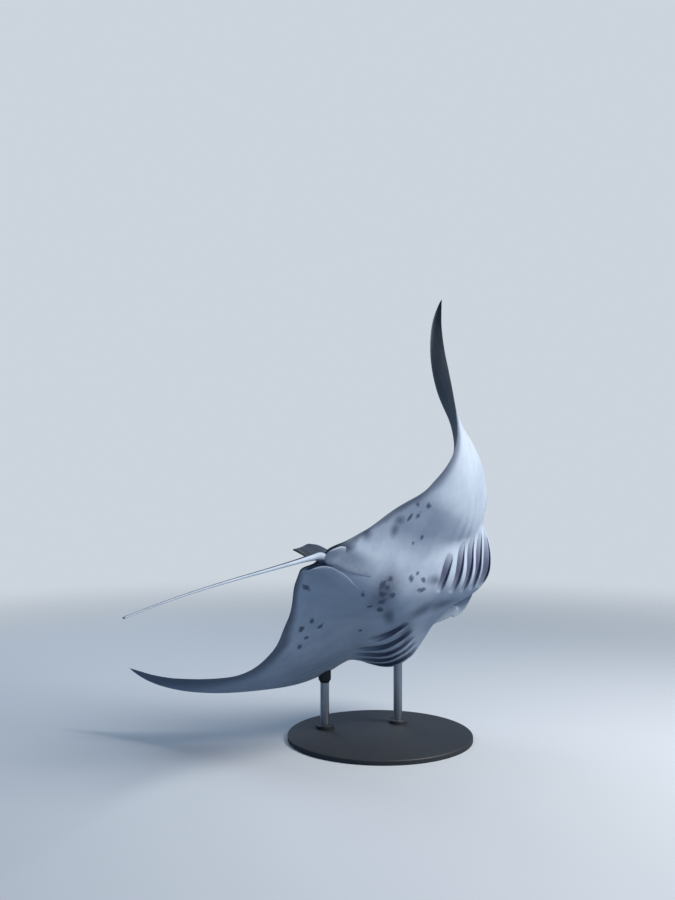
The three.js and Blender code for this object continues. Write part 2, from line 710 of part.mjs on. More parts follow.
const { radius: rim, thickness, edge } = BASE;
const foot = thickness + CLEARANCE;
const flesh = [posed(body, poseDisc), ...part.children.map((mesh) => mesh.geometry.clone())]
  .map((geometry) => solidOf(geometry.translate(0, 0, -CLEARANCE)));
addNode('stand_base', geometryOf(turned([
  [rim, 0], [rim, thickness - edge], [rim - 0.3 * edge, thickness - 0.3 * edge],
  [rim - edge, thickness],
], [0, 0], BASE_SIDES)), PAINT);
for (const [label, { at, top }] of Object.entries(RODS)) {
  const rod = turned([[ROD_RADIUS, foot], [ROD_RADIUS, top]], at, ROD_SIDES);
  addNode(`stand_rod_${label}`, geometryOf(rod), STEEL);

  const hole = turned([
    [ROD_RADIUS + CLEARANCE, 0], [ROD_RADIUS + CLEARANCE, top],
  ], at, ROD_SIDES);
  const collar = turned([
    [COLLAR.radius, foot], [COLLAR.radius, foot + COLLAR.height - COLLAR.edge],
    [COLLAR.radius - COLLAR.edge, foot + COLLAR.height],
  ], at, ROD_SIDES);
  addNode(`stand_collar_${label}`, geometryOf(collar.subtract(hole)), PAINT);

  const seat = top + CLEARANCE;
  let saddle = turned([
    [ROD_RADIUS, seat], [SADDLE.radius, seat + SADDLE.flare],
    [SADDLE.radius, seat + SADDLE.reach],
  ], at, ROD_SIDES);
  for (const piece of flesh) saddle = saddle.subtract(piece);
  addNode(`stand_saddle_${label}`, geometryOf(saddle), PAINT);
}

export default part;
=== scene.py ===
"""A life-size reef manta ray in a steep left bank on a museum stand: skin, eyes and studio."""

import logging
import math
from dataclasses import dataclass, field
from enum import IntEnum

import bpy
import numpy as np
from mathutils import Matrix, Vector


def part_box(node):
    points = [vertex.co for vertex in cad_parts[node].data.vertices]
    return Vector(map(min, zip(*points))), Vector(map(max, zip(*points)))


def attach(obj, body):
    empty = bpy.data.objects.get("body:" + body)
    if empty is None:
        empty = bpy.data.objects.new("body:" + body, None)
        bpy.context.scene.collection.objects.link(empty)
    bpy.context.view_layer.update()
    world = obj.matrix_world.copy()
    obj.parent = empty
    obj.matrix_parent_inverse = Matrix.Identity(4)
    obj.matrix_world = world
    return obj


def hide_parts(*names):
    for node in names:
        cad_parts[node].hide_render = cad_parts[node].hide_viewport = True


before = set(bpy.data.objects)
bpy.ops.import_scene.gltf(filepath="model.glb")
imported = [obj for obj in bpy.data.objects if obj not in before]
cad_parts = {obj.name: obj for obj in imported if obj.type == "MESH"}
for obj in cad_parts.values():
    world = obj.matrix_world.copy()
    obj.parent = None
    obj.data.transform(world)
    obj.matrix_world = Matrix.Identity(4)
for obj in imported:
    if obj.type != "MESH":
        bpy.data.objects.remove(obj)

LOG = logging.getLogger("manta_ray")

Array = np.ndarray
Rows = list[dict[str, Array]]
Piece = bpy.types.Object
Node = bpy.types.Node
Material = bpy.types.Material
Inputs = dict[str | int, object]
Pair = tuple[float, float]
Triple = tuple[float, float, float]
Colour = tuple[float, float, float, float]

DISC_WIDTH = 3.5  # metres from wing tip to wing tip, laid flat
HALF = 0.5  # half the disc, in disc widths, as all the animal's own sizes are
RIGID = 0.13  # half width of the stiff middle of the disc
TIP_X = -0.15  # where the wing tips lie along the body


class Side(IntEnum):
    """A side of the animal, as the sign of its y."""

    RIGHT = -1
    LEFT = 1


class Face(IntEnum):
    """The upper or lower face of the disc, as the sign of its z."""

    BELLY = -1
    BACK = 1


# ---------------------------------------------------------------- curves


def clamp(values: Array | float) -> Array:
    """Values held between 0 and 1."""
    return np.clip(values, 0.0, 1.0)


def smooth(start: float, end: float, values: Array | float) -> Array:
    """A soft step from 0 at start to 1 at end."""
    t = clamp((np.asarray(values, float) - start) / (end - start))
    return t * t * (3 - 2 * t)


def rounded(distance: Array, reach: float) -> Array:
    """A quarter of an ellipse, from 0 at no distance to 1 at reach."""
    return np.sqrt(1 - (1 - clamp(distance / reach)) ** 2)


def bump(distance: Array, reach: float) -> Array:
    """A smooth bump, 1 in the middle and 0 from one reach away."""
    return (1 - clamp(np.abs(distance / reach)) ** 2) ** 2


class Curve:
    """A smooth curve through (x, y) points that never overshoots them."""

    def __init__(self, *points: Pair) -> None:
        """Finds the slope at each point.

        Args:
            points: the points, in order of x.
        """
        self.x, self.y = np.array(points, float).T
        h, d = np.diff(self.x), np.diff(self.y) / np.diff(self.x)
        slope = np.zeros(len(self.x))
        for i in range(1, len(d)):
            if d[i - 1] * d[i] > 0:
                before, after = 2 * h[i] + h[i - 1], h[i] + 2 * h[i - 1]
                slope[i] = (before + after) / (before / d[i - 1] + after / d[i])
        slope[0] = self._end(h[0], h[1], d[0], d[1])
        slope[-1] = self._end(h[-1], h[-2], d[-1], d[-2])
        self.step, self.slope = h, slope

    @staticmethod
    def _end(h0: float, h1: float, d0: float, d1: float) -> float:
        """Slope at an end.

        Args:
            h0: length of the span there.
            h1: length of the next.
            d0: slope of the span there.
            d1: slope of the next.

        Returns:
            A slope that keeps the curve from overshooting.
        """
        slope = ((2 * h0 + h1) * d0 - h0 * d1) / (h0 + h1)
        if slope * d0 <= 0:
            return 0.0
        return 3 * d0 if d0 * d1 <= 0 and abs(slope) > 3 * abs(d0) else slope

    def __call__(self, at: Array | float) -> Array:
        """The curve's height.

        Args:
            at: places along x.

        Returns:
            The heights there, level beyond the ends.
        """
        at = np.asarray(at, float)
        i = np.clip(np.searchsorted(self.x, at) - 1, 0, len(self.step) - 1)
        t = clamp((at - self.x[i]) / self.step[i])
        rise = (self.y[i + 1] - self.y[i]) * t * t * (3 - 2 * t)
        lean = self.slope[i] * (1 - t) - self.slope[i + 1] * t
        return self.y[i] + rise + self.step[i] * t * (1 - t) * lean


# ---------------------------------------------------------------- the flat animal


@dataclass(frozen=True)
class Disc:
    """The flat disc's outline and thickness, with the body's swell along the midline."""

    leading: Curve = Curve(
        (0, 0.205), (0.04, 0.203), (0.07, 0.196), (0.095, 0.181), (0.115, 0.165),
        (0.138, 0.1555), (0.149, 0.146), (0.155, 0.139), (0.16, 0.131), (0.166, 0.1215),
        (0.173, 0.1165), (0.182, 0.1162), (0.19, 0.1188), (0.198, 0.1203), (0.206, 0.1185),
        (0.22, 0.109), (0.25, 0.088), (0.3, 0.048), (0.35, 0.005),
        (0.4, -0.04), (0.45, -0.088), (0.48, -0.12), (HALF, TIP_X),
    )
    trailing: Curve = Curve(
        (0, -0.245), (0.03, -0.243), (0.06, -0.225), (0.1, -0.195), (0.15, -0.165),
        (0.2, -0.142), (0.25, -0.127), (0.3, -0.118), (0.35, -0.116), (0.4, -0.12),
        (0.45, -0.132), (0.48, -0.143), (HALF, TIP_X),
    )
    wing_top: Curve = Curve(
        (0, 0.024), (0.1, 0.024), (0.15, 0.022), (0.2, 0.0175), (0.3, 0.0105),
        (0.4, 0.006), (0.47, 0.0033), (0.5, 0.0012),
    )
    wing_bottom: Curve = Curve(
        (0, 0.022), (0.1, 0.022), (0.15, 0.02), (0.2, 0.0155), (0.3, 0.0095),
        (0.4, 0.0055), (0.47, 0.003), (0.5, 0.001),
    )
    back: Curve = Curve(
        (-0.245, 0.003), (-0.2, 0.01), (-0.12, 0.02), (-0.04, 0.03), (0.04, 0.036),
        (0.1, 0.036), (0.15, 0.03), (0.19, 0.021), (0.205, 0.017),
    )
    belly: Curve = Curve(
        (-0.245, 0.013), (-0.2, 0.017), (-0.12, 0.024), (-0.04, 0.032), (0.03, 0.042),
        (0.09, 0.05), (0.13, 0.051), (0.165, 0.044), (0.19, 0.033), (0.205, 0.024),
    )
    back_spread: Curve = Curve(
        (-0.245, 0.05), (-0.2, 0.07), (-0.1, 0.11), (0, 0.14), (0.08, 0.15),
        (0.14, 0.135), (0.205, 0.13),
    )
    belly_spread: Curve = Curve(
        (-0.245, 0.05), (-0.2, 0.07), (-0.1, 0.1), (0, 0.115), (0.05, 0.137),
        (0.1, 0.165), (0.14, 0.177), (0.17, 0.157), (0.205, 0.125),
    )
    hollow: Curve = Curve(
        (-0.245, 0), (0, 0), (0.06, 0.07), (0.12, 0.26), (0.17, 0.34), (0.205, 0.2),
    )
    nose_round: float = 0.03
    rear_round: float = 0.014
    aerofoil_peak: float = 0.3648  # of the plain curve that the wing's section follows
    cheek: Pair = (0.146, 0.106)  # x and distance out of the swelling behind the eye
    cheek_height: Pair = (0.003, 0.007)  # on the belly and on the back
    gill_swell: Triple = (0.135, 0.136, 0.0065)  # x, distance out and height
    fold_line: Pair = (0.244, 0.62)  # its x at the midline, and its fall outward
    folds: float = 230.0
    fold_height: float = 0.0011

    def chord(self, out: Array) -> Array:
        """Length of the disc from front to rear at a distance from the midline."""
        return self.leading(out) - self.trailing(out)

    def surface(self, face: Face, x: Array, out: Array) -> Array:
        """Height of one face of the flat disc.

        Args:
            face: the back or the belly.
            x: places along the body.
            out: their distances from the midline.

        Returns:
            z there, below 0 on the belly.
        """
        front, rear = self.leading(out), self.trailing(out)
        t = clamp((x - rear) / np.maximum(front - rear, 1e-6))
        ends = rounded(front - x, self.nose_round) * rounded(x - rear, self.rear_round)
        aerofoil = t * (1 - t) ** 0.55 / self.aerofoil_peak
        cheek = bump(x - self.cheek[0], 0.05) * bump(out - self.cheek[1], 0.036)
        cheek = cheek * rounded(front - x, 0.012)
        if face is Face.BACK:
            full = smooth(0.08, 0.16, x)
            share = clamp(out / self.back_spread(x) / (1.15 - 0.07 * full)) ** (2 + 2 * full)
            body = self.back(x) * (1 - share) ** 2.6 * ends + self.cheek_height[1] * cheek
            return self.wing_top(out) * aerofoil + body
        full = smooth(-0.04, 0.08, x)
        share = clamp(out / self.belly_spread(x) / (1.15 - 0.09 * full)) ** (2 + 3.5 * full)
        left = (1 - share) ** 2.6 - self.hollow(x) * (1 - smooth(0.015, 0.09, out))
        along, across, height = self.gill_swell
        swell = height * bump(x - along, 0.06) * bump(out - across, 0.042)
        swell = swell + self.cheek_height[0] * cheek
        reach = bump(out - 0.2, 0.1) * smooth(0.4, 0.7, t) * smooth(1, 0.9, t)
        ahead = self.fold_line[0] - self.fold_line[1] * out - x
        fold = np.sin(self.folds * ahead + 2 * np.sin(30 * out))
        swell = swell + self.fold_height * reach * fold
        return -(self.wing_bottom(out) * aerofoil + self.belly(x) * left * ends + swell)


# ---------------------------------------------------------------- bending into the pose


def turn(first: Array, second: Array, degrees: float) -> tuple[Array, Array]:
    """Turns two perpendicular directions in their own plane.

    Args:
        first: the direction that turns towards the second.
        second: the other direction.
        degrees: how far.

    Returns:
        Both directions, turned.
    """
    c, s = math.cos(math.radians(degrees)), math.sin(math.radians(degrees))
    return first * c + second * s, second * c - first * s


@dataclass(frozen=True)
class WingBend:
    """Bend of one wing at five distances out, in degrees, with its chordwise camber."""

    side: Side
    lift: tuple[float, ...]
    sweep: tuple[float, ...]
    twist: tuple[float, ...]
    camber: tuple[float, ...]

    def frames(self, disc: Disc) -> dict[str, Array]:
        """Frames along the wing.

        Args:
            disc: the flat disc that bends.

        Returns:
            Distances out, with each chord's centre, middle, forward and up, and camber.
        """
        out = np.linspace(0, HALF, 201)
        stations = (0, 0.065, RIGID, 0.2, 0.3, 0.4, 0.5)
        bend, back, roll, arch = (
            Curve(*zip(stations, (0, 0, 0, *values)))(out)
            for values in (self.lift, self.sweep, self.twist, self.camber)
        )
        middle = (disc.leading(out) + disc.trailing(out)) / 2
        centre = np.array([middle[0], 0.0, 0.0])
        rows: list[tuple[Array, Array, Array]] = []
        last_span = last_forward = np.zeros(3)
        for i in range(len(out)):
            span, up = turn(np.array([0.0, self.side, 0.0]), np.array([0.0, 0.0, 1.0]), bend[i])
            forward, span = turn(np.array([1.0, 0.0, 0.0]), span, back[i])
            forward, up = turn(forward, up, roll[i])
            if i:
                step = (out[1] - out[0]) / 2
                centre = centre + (last_span + span) * step
                centre = centre + (last_forward + forward) * (middle[i] - middle[i - 1]) / 2
            last_span, last_forward = span, forward
            rows.append((centre, forward, up))
        centres, forwards, ups = (np.array(row) for row in zip(*rows))
        return {"out": out, "middle": middle, "arch": arch,
                "centre": centres, "forward": forwards, "up": ups}


def between(at: Array, places: Array, rows: Array, unit: bool = True) -> Array:
    """Vectors read between the rows of a table.

    Args:
        at: where to read.
        places: where the rows are.
        rows: one vector for each place.
        unit: whether the result has length 1.

    Returns:
        One vector for each place in at.
    """
    read = np.stack([np.interp(at, places, rows[:, k]) for k in range(3)], axis=1)
    return read / np.linalg.norm(read, axis=1, keepdims=True) if unit else read


@dataclass(frozen=True)
class Pose:
    """How the flat animal bends, and where it glides over the stand."""

    disc: Disc = Disc()
    wings: tuple[WingBend, ...] = (
        WingBend(Side.RIGHT, (28, 57, 70, 60), (7, 13, 6, -1), (4, 13, 36, 65),
                 (-0.2, 1.1, 0, -0.3)),
        WingBend(Side.LEFT, (7, 31, 36, 42), (2, 0, -7, -12), (4, 0, -13, -43),
                 (-0.2, 0.1, 0, -0.1)),
    )
    rear_flex: Pair = (-0.008, 0.014)  # right and left
    tail_start: float = -0.228
    tail_height: float = -0.003
    tail_length: float = 0.65
    tail_drop: Curve = Curve((0, 0), (0.015, 0), (0.05, 20), (0.3, 19.7), (0.65, 23))
    tail_turn: Curve = Curve((0, 0), (0.015, 0), (0.05, 2.9), (0.3, 2.8), (0.65, 2.8))
    nose_down: float = 16.1
    bank: float = 48.2
    shift: Triple = (-0.16, 0.18, 1.0)

    def bend_disc(self, points: Array) -> Array:
        """Where points of the flat disc go when the wings bend.

        Args:
            points: flat places, one a row.

        Returns:
            The bent places.
        """
        bent = points.copy()
        x, out = points[:, 0], np.abs(points[:, 1])
        across = smooth(0.012, 0.045, out) * (1 - smooth(0.07, RIGID, out))
        flex = np.where(points[:, 1] < 0, *self.rear_flex)
        bent[:, 2] += np.where(out <= RIGID, flex * across * (1 - smooth(-0.23, -0.12, x)), 0)
        for wing in self.wings:
            rows = wing.frames(self.disc)
            moved = (out > RIGID) & (np.sign(points[:, 1]) == wing.side)
            at = out[moved]
            chord = x[moved] - np.interp(at, rows["out"], rows["middle"])
            arch = np.interp(at, rows["out"], rows["arch"]) * chord**2
            height = points[moved, 2] - arch
            centre = between(at, rows["out"], rows["centre"], unit=False)
            forward = between(at, rows["out"], rows["forward"])
            up = between(at, rows["out"], rows["up"])
            bent[moved] = centre + forward * chord[:, None] + up * height[:, None]
        return bent

    def bend_tail(self, points: Array) -> Array:
        """Where points of the straight tail go when it bends.

        Args:
            points: straight places, one a row.

        Returns:
            The bent places.
        """
        along = np.linspace(0, self.tail_length, 201)
        down, left = np.radians(self.tail_drop(along)), np.radians(self.tail_turn(along))
        backward = np.stack([-np.cos(down) * np.cos(left), np.cos(down) * np.sin(left),
                             -np.sin(down)], axis=1)
        steps = (backward[1:] + backward[:-1]) * (along[1] / 2)
        start = np.array([self.tail_start, 0.0, self.tail_height])
        centre = start + np.concatenate([np.zeros((1, 3)), np.cumsum(steps, axis=0)])
        sideways = np.cross(backward, (0, 0, 1))
        sideways /= np.linalg.norm(sideways, axis=1, keepdims=True)
        up = np.cross(sideways, backward)
        distance = self.tail_start - points[:, 0]
        at = np.clip(distance, 0, self.tail_length)
        return (
            between(at, along, centre, unit=False)
            + between(at, along, backward) * (distance - at)[:, None]
            + between(at, along, sideways) * points[:, 1:2]
            + between(at, along, up) * (points[:, 2:] - self.tail_height)
        )

    def room(self, points: Array) -> Array:
        """From the bent animal, in disc widths, to the room, in metres.

        Args:
            points: bent places, one a row.

        Returns:
            The places over the stand.
        """
        place = (
            Matrix.Translation(self.shift)
            @ Matrix.Rotation(math.radians(-90), 4, "Z")
            @ Matrix.Rotation(math.radians(self.nose_down), 4, "Y")
            @ Matrix.Rotation(math.radians(-self.bank), 4, "X")
            @ Matrix.Scale(DISC_WIDTH, 4)
        )
        turned = np.array(place)
        return points @ turned[:3, :3].T + turned[:3, 3]


# ---------------------------------------------------------------- meshes

# What the skin knows about each point, for its colours: how much it faces the belly side, how
# much painted shade darkens it in the mouth and in a slit, over the slit's dark skin, how far
# from the rear edge it is, and its dark marks, with painted shade on the right pelvic lobe.
FIELDS = ("under", "slit", "rear", "spot", "smudge")
UNMARKED = -3.0  # value of a mark's field far outside the mark


def only(piece: Piece) -> None:
    """Makes one object the only one selected, and active.

    Args:
        piece: the object.
    """
    bpy.ops.object.select_all(action="DESELECT")
    piece.select_set(True)
    bpy.context.view_layer.objects.active = piece


def face_out(piece: Piece) -> None:
    """Turns the faces of a closed mesh outward.

    Args:
        piece: the mesh.
    """
    only(piece)
    bpy.ops.object.mode_set(mode="EDIT")
    bpy.ops.mesh.select_all(action="SELECT")
    bpy.ops.mesh.normals_make_consistent(inside=False)
    bpy.ops.object.mode_set(mode="OBJECT")


def unit_ball(name: str, segments: int, rings: int) -> tuple[Piece, Array]:
    """A ball with radius 1.

    Args:
        name: what it is called.
        segments: how many points go round it.
        rings: how many bands it has from pole to pole.

    Returns:
        The ball, and its points, one a row.
    """
    bpy.ops.object.select_all(action="DESELECT")
    bpy.ops.mesh.primitive_uv_sphere_add(segments=segments, ring_count=rings)
    piece = bpy.context.active_object
    piece.name = piece.data.name = name
    places = np.zeros(len(piece.data.vertices) * 3)
    piece.data.vertices.foreach_get("co", places)
    return piece, places.reshape(-1, 3)


def keep(piece: Piece, name: str, values: Array) -> None:
    """Keeps a number or a place for each point of a mesh.

    Args:
        piece: the mesh.
        name: what its colours know them by.
        values: one for each point.
    """
    kind, slot = ("FLOAT", "value") if values.ndim == 1 else ("FLOAT_VECTOR", "vector")
    made = piece.data.attributes.new(name, kind, "POINT")
    made.data.foreach_set(slot, values.astype(np.float32).ravel())


def reshape(piece: Piece, places: Array) -> None:
    """Moves the points of a closed mesh, and makes it smooth.

    Args:
        piece: the mesh.
        places: where its points go, one a row.
    """
    piece.data.vertices.foreach_set("co", places.astype(np.float32).ravel())
    piece.data.update()
    face_out(piece)
    bpy.ops.object.shade_smooth()


def turns(count: int) -> Array:
    """Angles of evenly spaced points round a ring."""
    return 2 * math.pi * np.arange(count) / count


def power(wave: Array, exponent: Array | float) -> Array:
    """A wave made sharper or fuller, with its sign kept."""
    return np.sign(wave) * np.abs(wave) ** exponent


def plain_fields(under: Array) -> dict[str, Array]:
    """Colour fields of a piece that lies away from the disc's edges, slits and spots."""
    far = dict.fromkeys(("spot", "smudge"), np.full(under.shape, UNMARKED))
    return {"under": under, "rear": np.full(under.shape, 0.4), **far}


@dataclass
class Shell:
    """A closed skin over a row of rings, in the flat animal's own sizes.

    Attributes:
        name: what the mesh is called.
        rings: places, as rings by points by 3.
        fields: a value for each point of each ring, by name.
        tips: the closing point before the first ring and after the last, or their middles.
        on_tail: whether it bends with the tail rather than with the disc.
    """

    name: str
    rings: Array
    fields: dict[str, Array]
    tips: tuple[Array, Array] | None = None
    on_tail: bool = False

    def build(self, pose: Pose) -> Piece:
        """Moves the points of a ball with as many rings, and bends it into the pose.

        Args:
            pose: how the animal bends and where it glides.

        Returns:
            The mesh in the room.
        """
        count, around = self.rings.shape[:2]
        piece, ball = unit_ball(self.name, around, count + 1)
        row = np.rint(np.arccos(np.clip(ball[:, 2], -1, 1)) / math.pi * (count + 1)).astype(int)
        column = np.rint(np.arctan2(ball[:, 1], ball[:, 0]) / (2 * math.pi) * around).astype(int)
        column %= around
        tips = self.tips or (self.rings[0].mean(axis=0), self.rings[-1].mean(axis=0))
        first, last = (np.broadcast_to(tip, (1, around, 3)) for tip in tips)
        flat = np.concatenate([first, self.rings, last])[row, column]
        keep(piece, "flat", flat)
        for name in FIELDS:
            values = self.fields.get(name, np.zeros((count, around)))
            keep(piece, name, np.concatenate([values[:1], values, values[-1:]])[row, column])
        bent = pose.bend_tail(flat) if self.on_tail else pose.bend_disc(flat)
        reshape(piece, pose.room(bent))
        return piece


@dataclass(frozen=True)
class Gill:
    """One gill slit, from its inner to its outer end in plan: (x, distance out)."""

    inner: Pair
    outer: Pair
    bow: float = -0.006  # forward of the straight line between its ends

    def along(self, out: Array) -> Array:
        """Share of the way from the inner end to the outer."""
        return (out - self.inner[1]) / (self.outer[1] - self.inner[1])

    def open(self, out: Array) -> Array:
        """How open the slit is at a distance out, from 0 at its ends to 1 in the middle."""
        return np.sin(math.pi * clamp(self.along(out))).clip(0, 1) ** 0.8

    def lip(self, disc: Disc, out: Array) -> Array:
        """Where the free edge of the flap in front of the slit lies.

        Args:
            disc: the flat disc.
            out: distances from the midline.

        Returns:
            x there, carried on past the slit's own ends.
        """
        t = self.along(out)
        bow = self.bow * np.sin(math.pi * clamp(t))
        straight = self.inner[0] + (self.outer[0] - self.inner[0]) * t + bow
        x, end = self.outer
        share = (x - disc.trailing(end)) / disc.chord(end)
        return np.where(t <= 1, straight, disc.trailing(out) + disc.chord(out) * share)


@dataclass(frozen=True)
class Spot:
    """A dark mark on the belly: its place, width, length to width and turn."""

    x: float
    y: float
    size: float = 0.005
    stretch: float = 1.4
    turn: float = 35.0

    def field(self, x: Array, y: Array) -> Array:
        """How deep inside the mark points lie.

        Args:
            x: their places along the body.
            y: their places across it.

        Returns:
            1 at the mark's middle, 0 at its edge and less outside.
        """
        c, s = math.cos(math.radians(self.turn)), math.sin(math.radians(self.turn))
        along = ((x - self.x) * c + (y - self.y) * s) / (self.size * self.stretch)
        across = ((y - self.y) * c - (x - self.x) * s) / self.size
        return 1 - np.sqrt(along**2 + across**2)


# The CAD nodes that the one skin stands for.
FLESH = (
    "head", "throat", "belly", "dorsal_fin", "tail_root", "tail_middle", "tail_tip",
    *(f"pectoral_fin_{side}_{length}" for side in ("right", "left")
      for length in ("root", "middle", "tip")),
    *(f"{fin}_{side}" for fin in ("cephalic_fin", "pelvic_fin") for side in ("right", "left")),
)


@dataclass
class Hide:
    """The whole skin: disc, mouth, gill slits, fins, tail and eyelids."""

    disc: Disc = field(default_factory=Disc)
    pose: Pose = field(default_factory=Pose)
    mouth_half_width: float = 0.072
    mouth_depth: float = 0.06
    mouth_half_height: float = 0.014
    mouth_drop: float = 0.006
    edge_half_height: float = 0.0008
    edge_round: float = 0.0006
    lip_blend: float = 0.002
    throat_front: float = 0.1  # ahead of this the belly gives way to the lower lip
    slit_width: float = 0.0165
    slit_chord: float = 0.36  # length of the disc where a slit has that width
    slit_depth: Pair = (0.6, 1.0)  # of the first slit and the others
    left_depth: float = 0.5  # how much deeper the slits on the left are
    first_slit: float = 0.86  # its width, as a share of the way to the second slit
    left_reach: float = 0.02  # how much nearer the midline the slits on the left come
    flap_swell: float = 0.0016
    # How much painted shade darkens the right pelvic lobe.
    lobe_shade: float = 0.25
    gills: tuple[Gill, ...] = (
        Gill((0.147, 0.089), (0.115, 0.165), 0.004),
        Gill((0.12, 0.079), (0.097, 0.162)),
        Gill((0.096, 0.068), (0.078, 0.152)),
        Gill((0.07, 0.058), (0.058, 0.137)),
        Gill((0.04, 0.048), (0.034, 0.11)),
    )
    # Across a slit from the lip rearward: x from the lip, depth, darkness, share of the swell.
    # The darkness is the slit's dark inner skin with painted shade deepening into it.
    slit_profile: tuple[tuple[float, float, float, float], ...] = (
        (0, 0, 0, 1), (-0.0009, 0.0007, 0, 1), (-0.0004, 0.0017, 0.4, 1),
        (0.002, 0.0034, 0.75, 0.7), (0.0045, 0.0042, 0.7, 0.3), (0.0055, 0.0052, 0.75, 0),
        (0.003, 0.0058, 0.8, 0), (-0.001, 0.005, 0.9, 0), (-0.0065, 0.0043, 1, 0),
        (-0.0118, 0.0037, 1, 0), (-0.0152, 0.0024, 0.95, 0), (-0.0165, 0, 0, 0),
    )
    spots: tuple[Spot, ...] = (
        Spot(-0.142, -0.152, 0.005, 1.8), Spot(-0.116, -0.159, 0.006, 1.5),
        Spot(-0.136, -0.124, 0.0048, 1.9, 75), Spot(-0.122, -0.134, 0.0056, 1.7, 75),
        Spot(-0.073, -0.107, 0.005, 1.6),
        Spot(-0.083, -0.091, 0.004, 1.3), Spot(-0.034, -0.055, 0.004),
        Spot(-0.045, -0.043, 0.007, 1.2), Spot(-0.104, -0.012, 0.009, 1.3, 60),
        Spot(-0.095, -0.026, 0.006, 1.6, 10), Spot(-0.089, -0.012, 0.007, 1.2),
        Spot(-0.086, 0.001, 0.008, 1.3, -20), Spot(-0.063, -0.005, 0.006, 1.7),
        Spot(-0.07, 0.015, 0.008, 1.3, 70), Spot(-0.051, 0.03, 0.007, 1.6, 10),
        Spot(-0.122, 0.018, 0.005, 1.8), Spot(-0.078, 0.034, 0.004, 1.5, -40),
        Spot(-0.009, -0.036, 0.005, 2.4, -30), Spot(-0.016, -0.051, 0.005),
        Spot(-0.198, 0.064, 0.006, 1.8, 10), Spot(-0.131, 0.111, 0.005, 1.7),
        Spot(-0.101, 0.114, 0.006, 1.3, 80), Spot(-0.133, 0.134, 0.006, 1.6),
        Spot(-0.105, 0.145), Spot(-0.102, 0.166, 0.006, 1.5), Spot(-0.013, 0.091, 0.004),
    )
    # Soft darker patches on the belly.
    soft_patches: tuple[Spot, ...] = (
        Spot(-0.021, 0.033, 0.01, 2.6, 30), Spot(0.008, -0.062, 0.009, 2, -30),
        Spot(-0.229, -0.036, 0.008, 2.2, -30), Spot(-0.208, -0.069, 0.01, 1.8, 20),
        Spot(-0.146, -0.094, 0.01, 1.6, 40), Spot(-0.152, -0.112, 0.009, 1.6, 0),
        Spot(0.033, -0.006, 0.018, 2, -55), Spot(0.076, -0.032, 0.017, 3, -18),
        Spot(0.05, 0.045, 0.014, 2.6, 40), Spot(-0.085, -0.005, 0.03, 1.5, 50),
    )

    def stations(self) -> Array:
        """Distances along the span, closest over the head and wider along the wings.

        Returns:
            y from the right wing to the left, without the tips.
        """
        half = np.concatenate([
            np.linspace(0, 0.095, 44)[1:], np.linspace(0.095, 0.137, 26)[1:],
            np.linspace(0.137, 0.2, 28)[1:], 0.2 + 0.3 * np.linspace(0, 1, 74)[1:-1] ** 0.94,
        ])
        return np.concatenate([-half[::-1], [0.0], half])

    def mouth(self, out: Array) -> Array:
        """How open the mouth is at a distance out, from 1 in the middle to 0 at its corners."""
        return clamp(1 - (out / self.mouth_half_width) ** 2)

    def lip_heights(self, out: Array) -> tuple[Array, Array]:
        """Heights of the lips, or of the thin leading edge beside them.

        Args:
            out: distances from the midline.

        Returns:
            The lower and the upper lip's.
        """
        share, edge = np.sqrt(self.mouth(out)), self.edge_half_height
        half = edge + (self.mouth_half_height - edge) * share
        return -self.mouth_drop * share - half, -self.mouth_drop * share + half

    def clear(self, face: Face, z: Array, out: Array) -> Array:
        """Keeps one face clear of the mouth, with a soft join at the lip.

        Args:
            face: the back or the belly.
            z: heights on it.
            out: each station's distance from the midline.

        Returns:
            The heights, moved away from the lip where they would cross it.
        """
        mouth, lip = self.mouth(out), self.lip_heights(out)[face > 0]
        gap = face * (z - lip)
        moved = lip + face * (gap + np.sqrt(gap**2 + self.lip_blend**2 * mouth)) / 2
        return np.where(mouth > 0, moved, z)

    def back_rows(self, out: Array, count: int = 62) -> Rows:
        """Rows of the upper face, from the rear edge to the front.

        Args:
            out: each station's distance from the midline.
            count: how many rows.

        Returns:
            x, z and the colour fields of each row.
        """
        rows = []
        for t in np.linspace(0, 1, count):
            share = 0.75 * (1 - math.cos(math.pi * t)) / 2 + 0.25 * t
            x = self.disc.trailing(out) + self.disc.chord(out) * share
            z = self.disc.surface(Face.BACK, x, out)
            rows.append({"x": x, "z": self.clear(Face.BACK, z, out) if t > 0.5 else z})
        return rows

    def mouth_rows(self, out: Array, count: int = 16) -> Rows:
        """Rows from the upper lip back into the mouth and out over the lower lip.

        Args:
            out: each station's distance from the midline.
            count: how many rows.

        Returns:
            x, z and the colour fields of each row.
        """
        lower, upper = self.lip_heights(out)
        open_by = self.mouth(out)
        depth = (self.mouth_depth + self.edge_round) * open_by - self.edge_round
        rows = []
        for share in np.arange(1, count + 1) / (count + 1):
            angle = math.pi * share
            rows.append({
                "x": self.disc.leading(out) - depth * math.sin(angle) ** 0.8,
                "z": (upper + lower) / 2 + (upper - lower) / 2 * math.cos(angle),
                "under": np.full_like(out, share),
                # painted shade inside the mouth, darker away from the lips
                "slit": open_by**0.5 * min(1.0, 2.2 * math.sin(angle)),
            })
        return rows

    def belly_row(self, x: Array, out: Array, depth: Array | float = 0.0,
                  dark: Array | float = 0.0) -> dict[str, Array]:
        """One row of the lower face.

        Args:
            x: places along the body.
            out: their distances from the midline.
            depth: how far they lie inside the body.
            dark: how much the slit's dark skin and painted shade darken them.

        Returns:
            x, z and the colour fields.
        """
        z = self.disc.surface(Face.BELLY, x, out)
        z = np.where(x > self.throat_front, self.clear(Face.BELLY, z, out), z)
        return {"x": x, "z": z + depth, "under": np.ones_like(out),
                "slit": np.broadcast_to(dark, out.shape)}

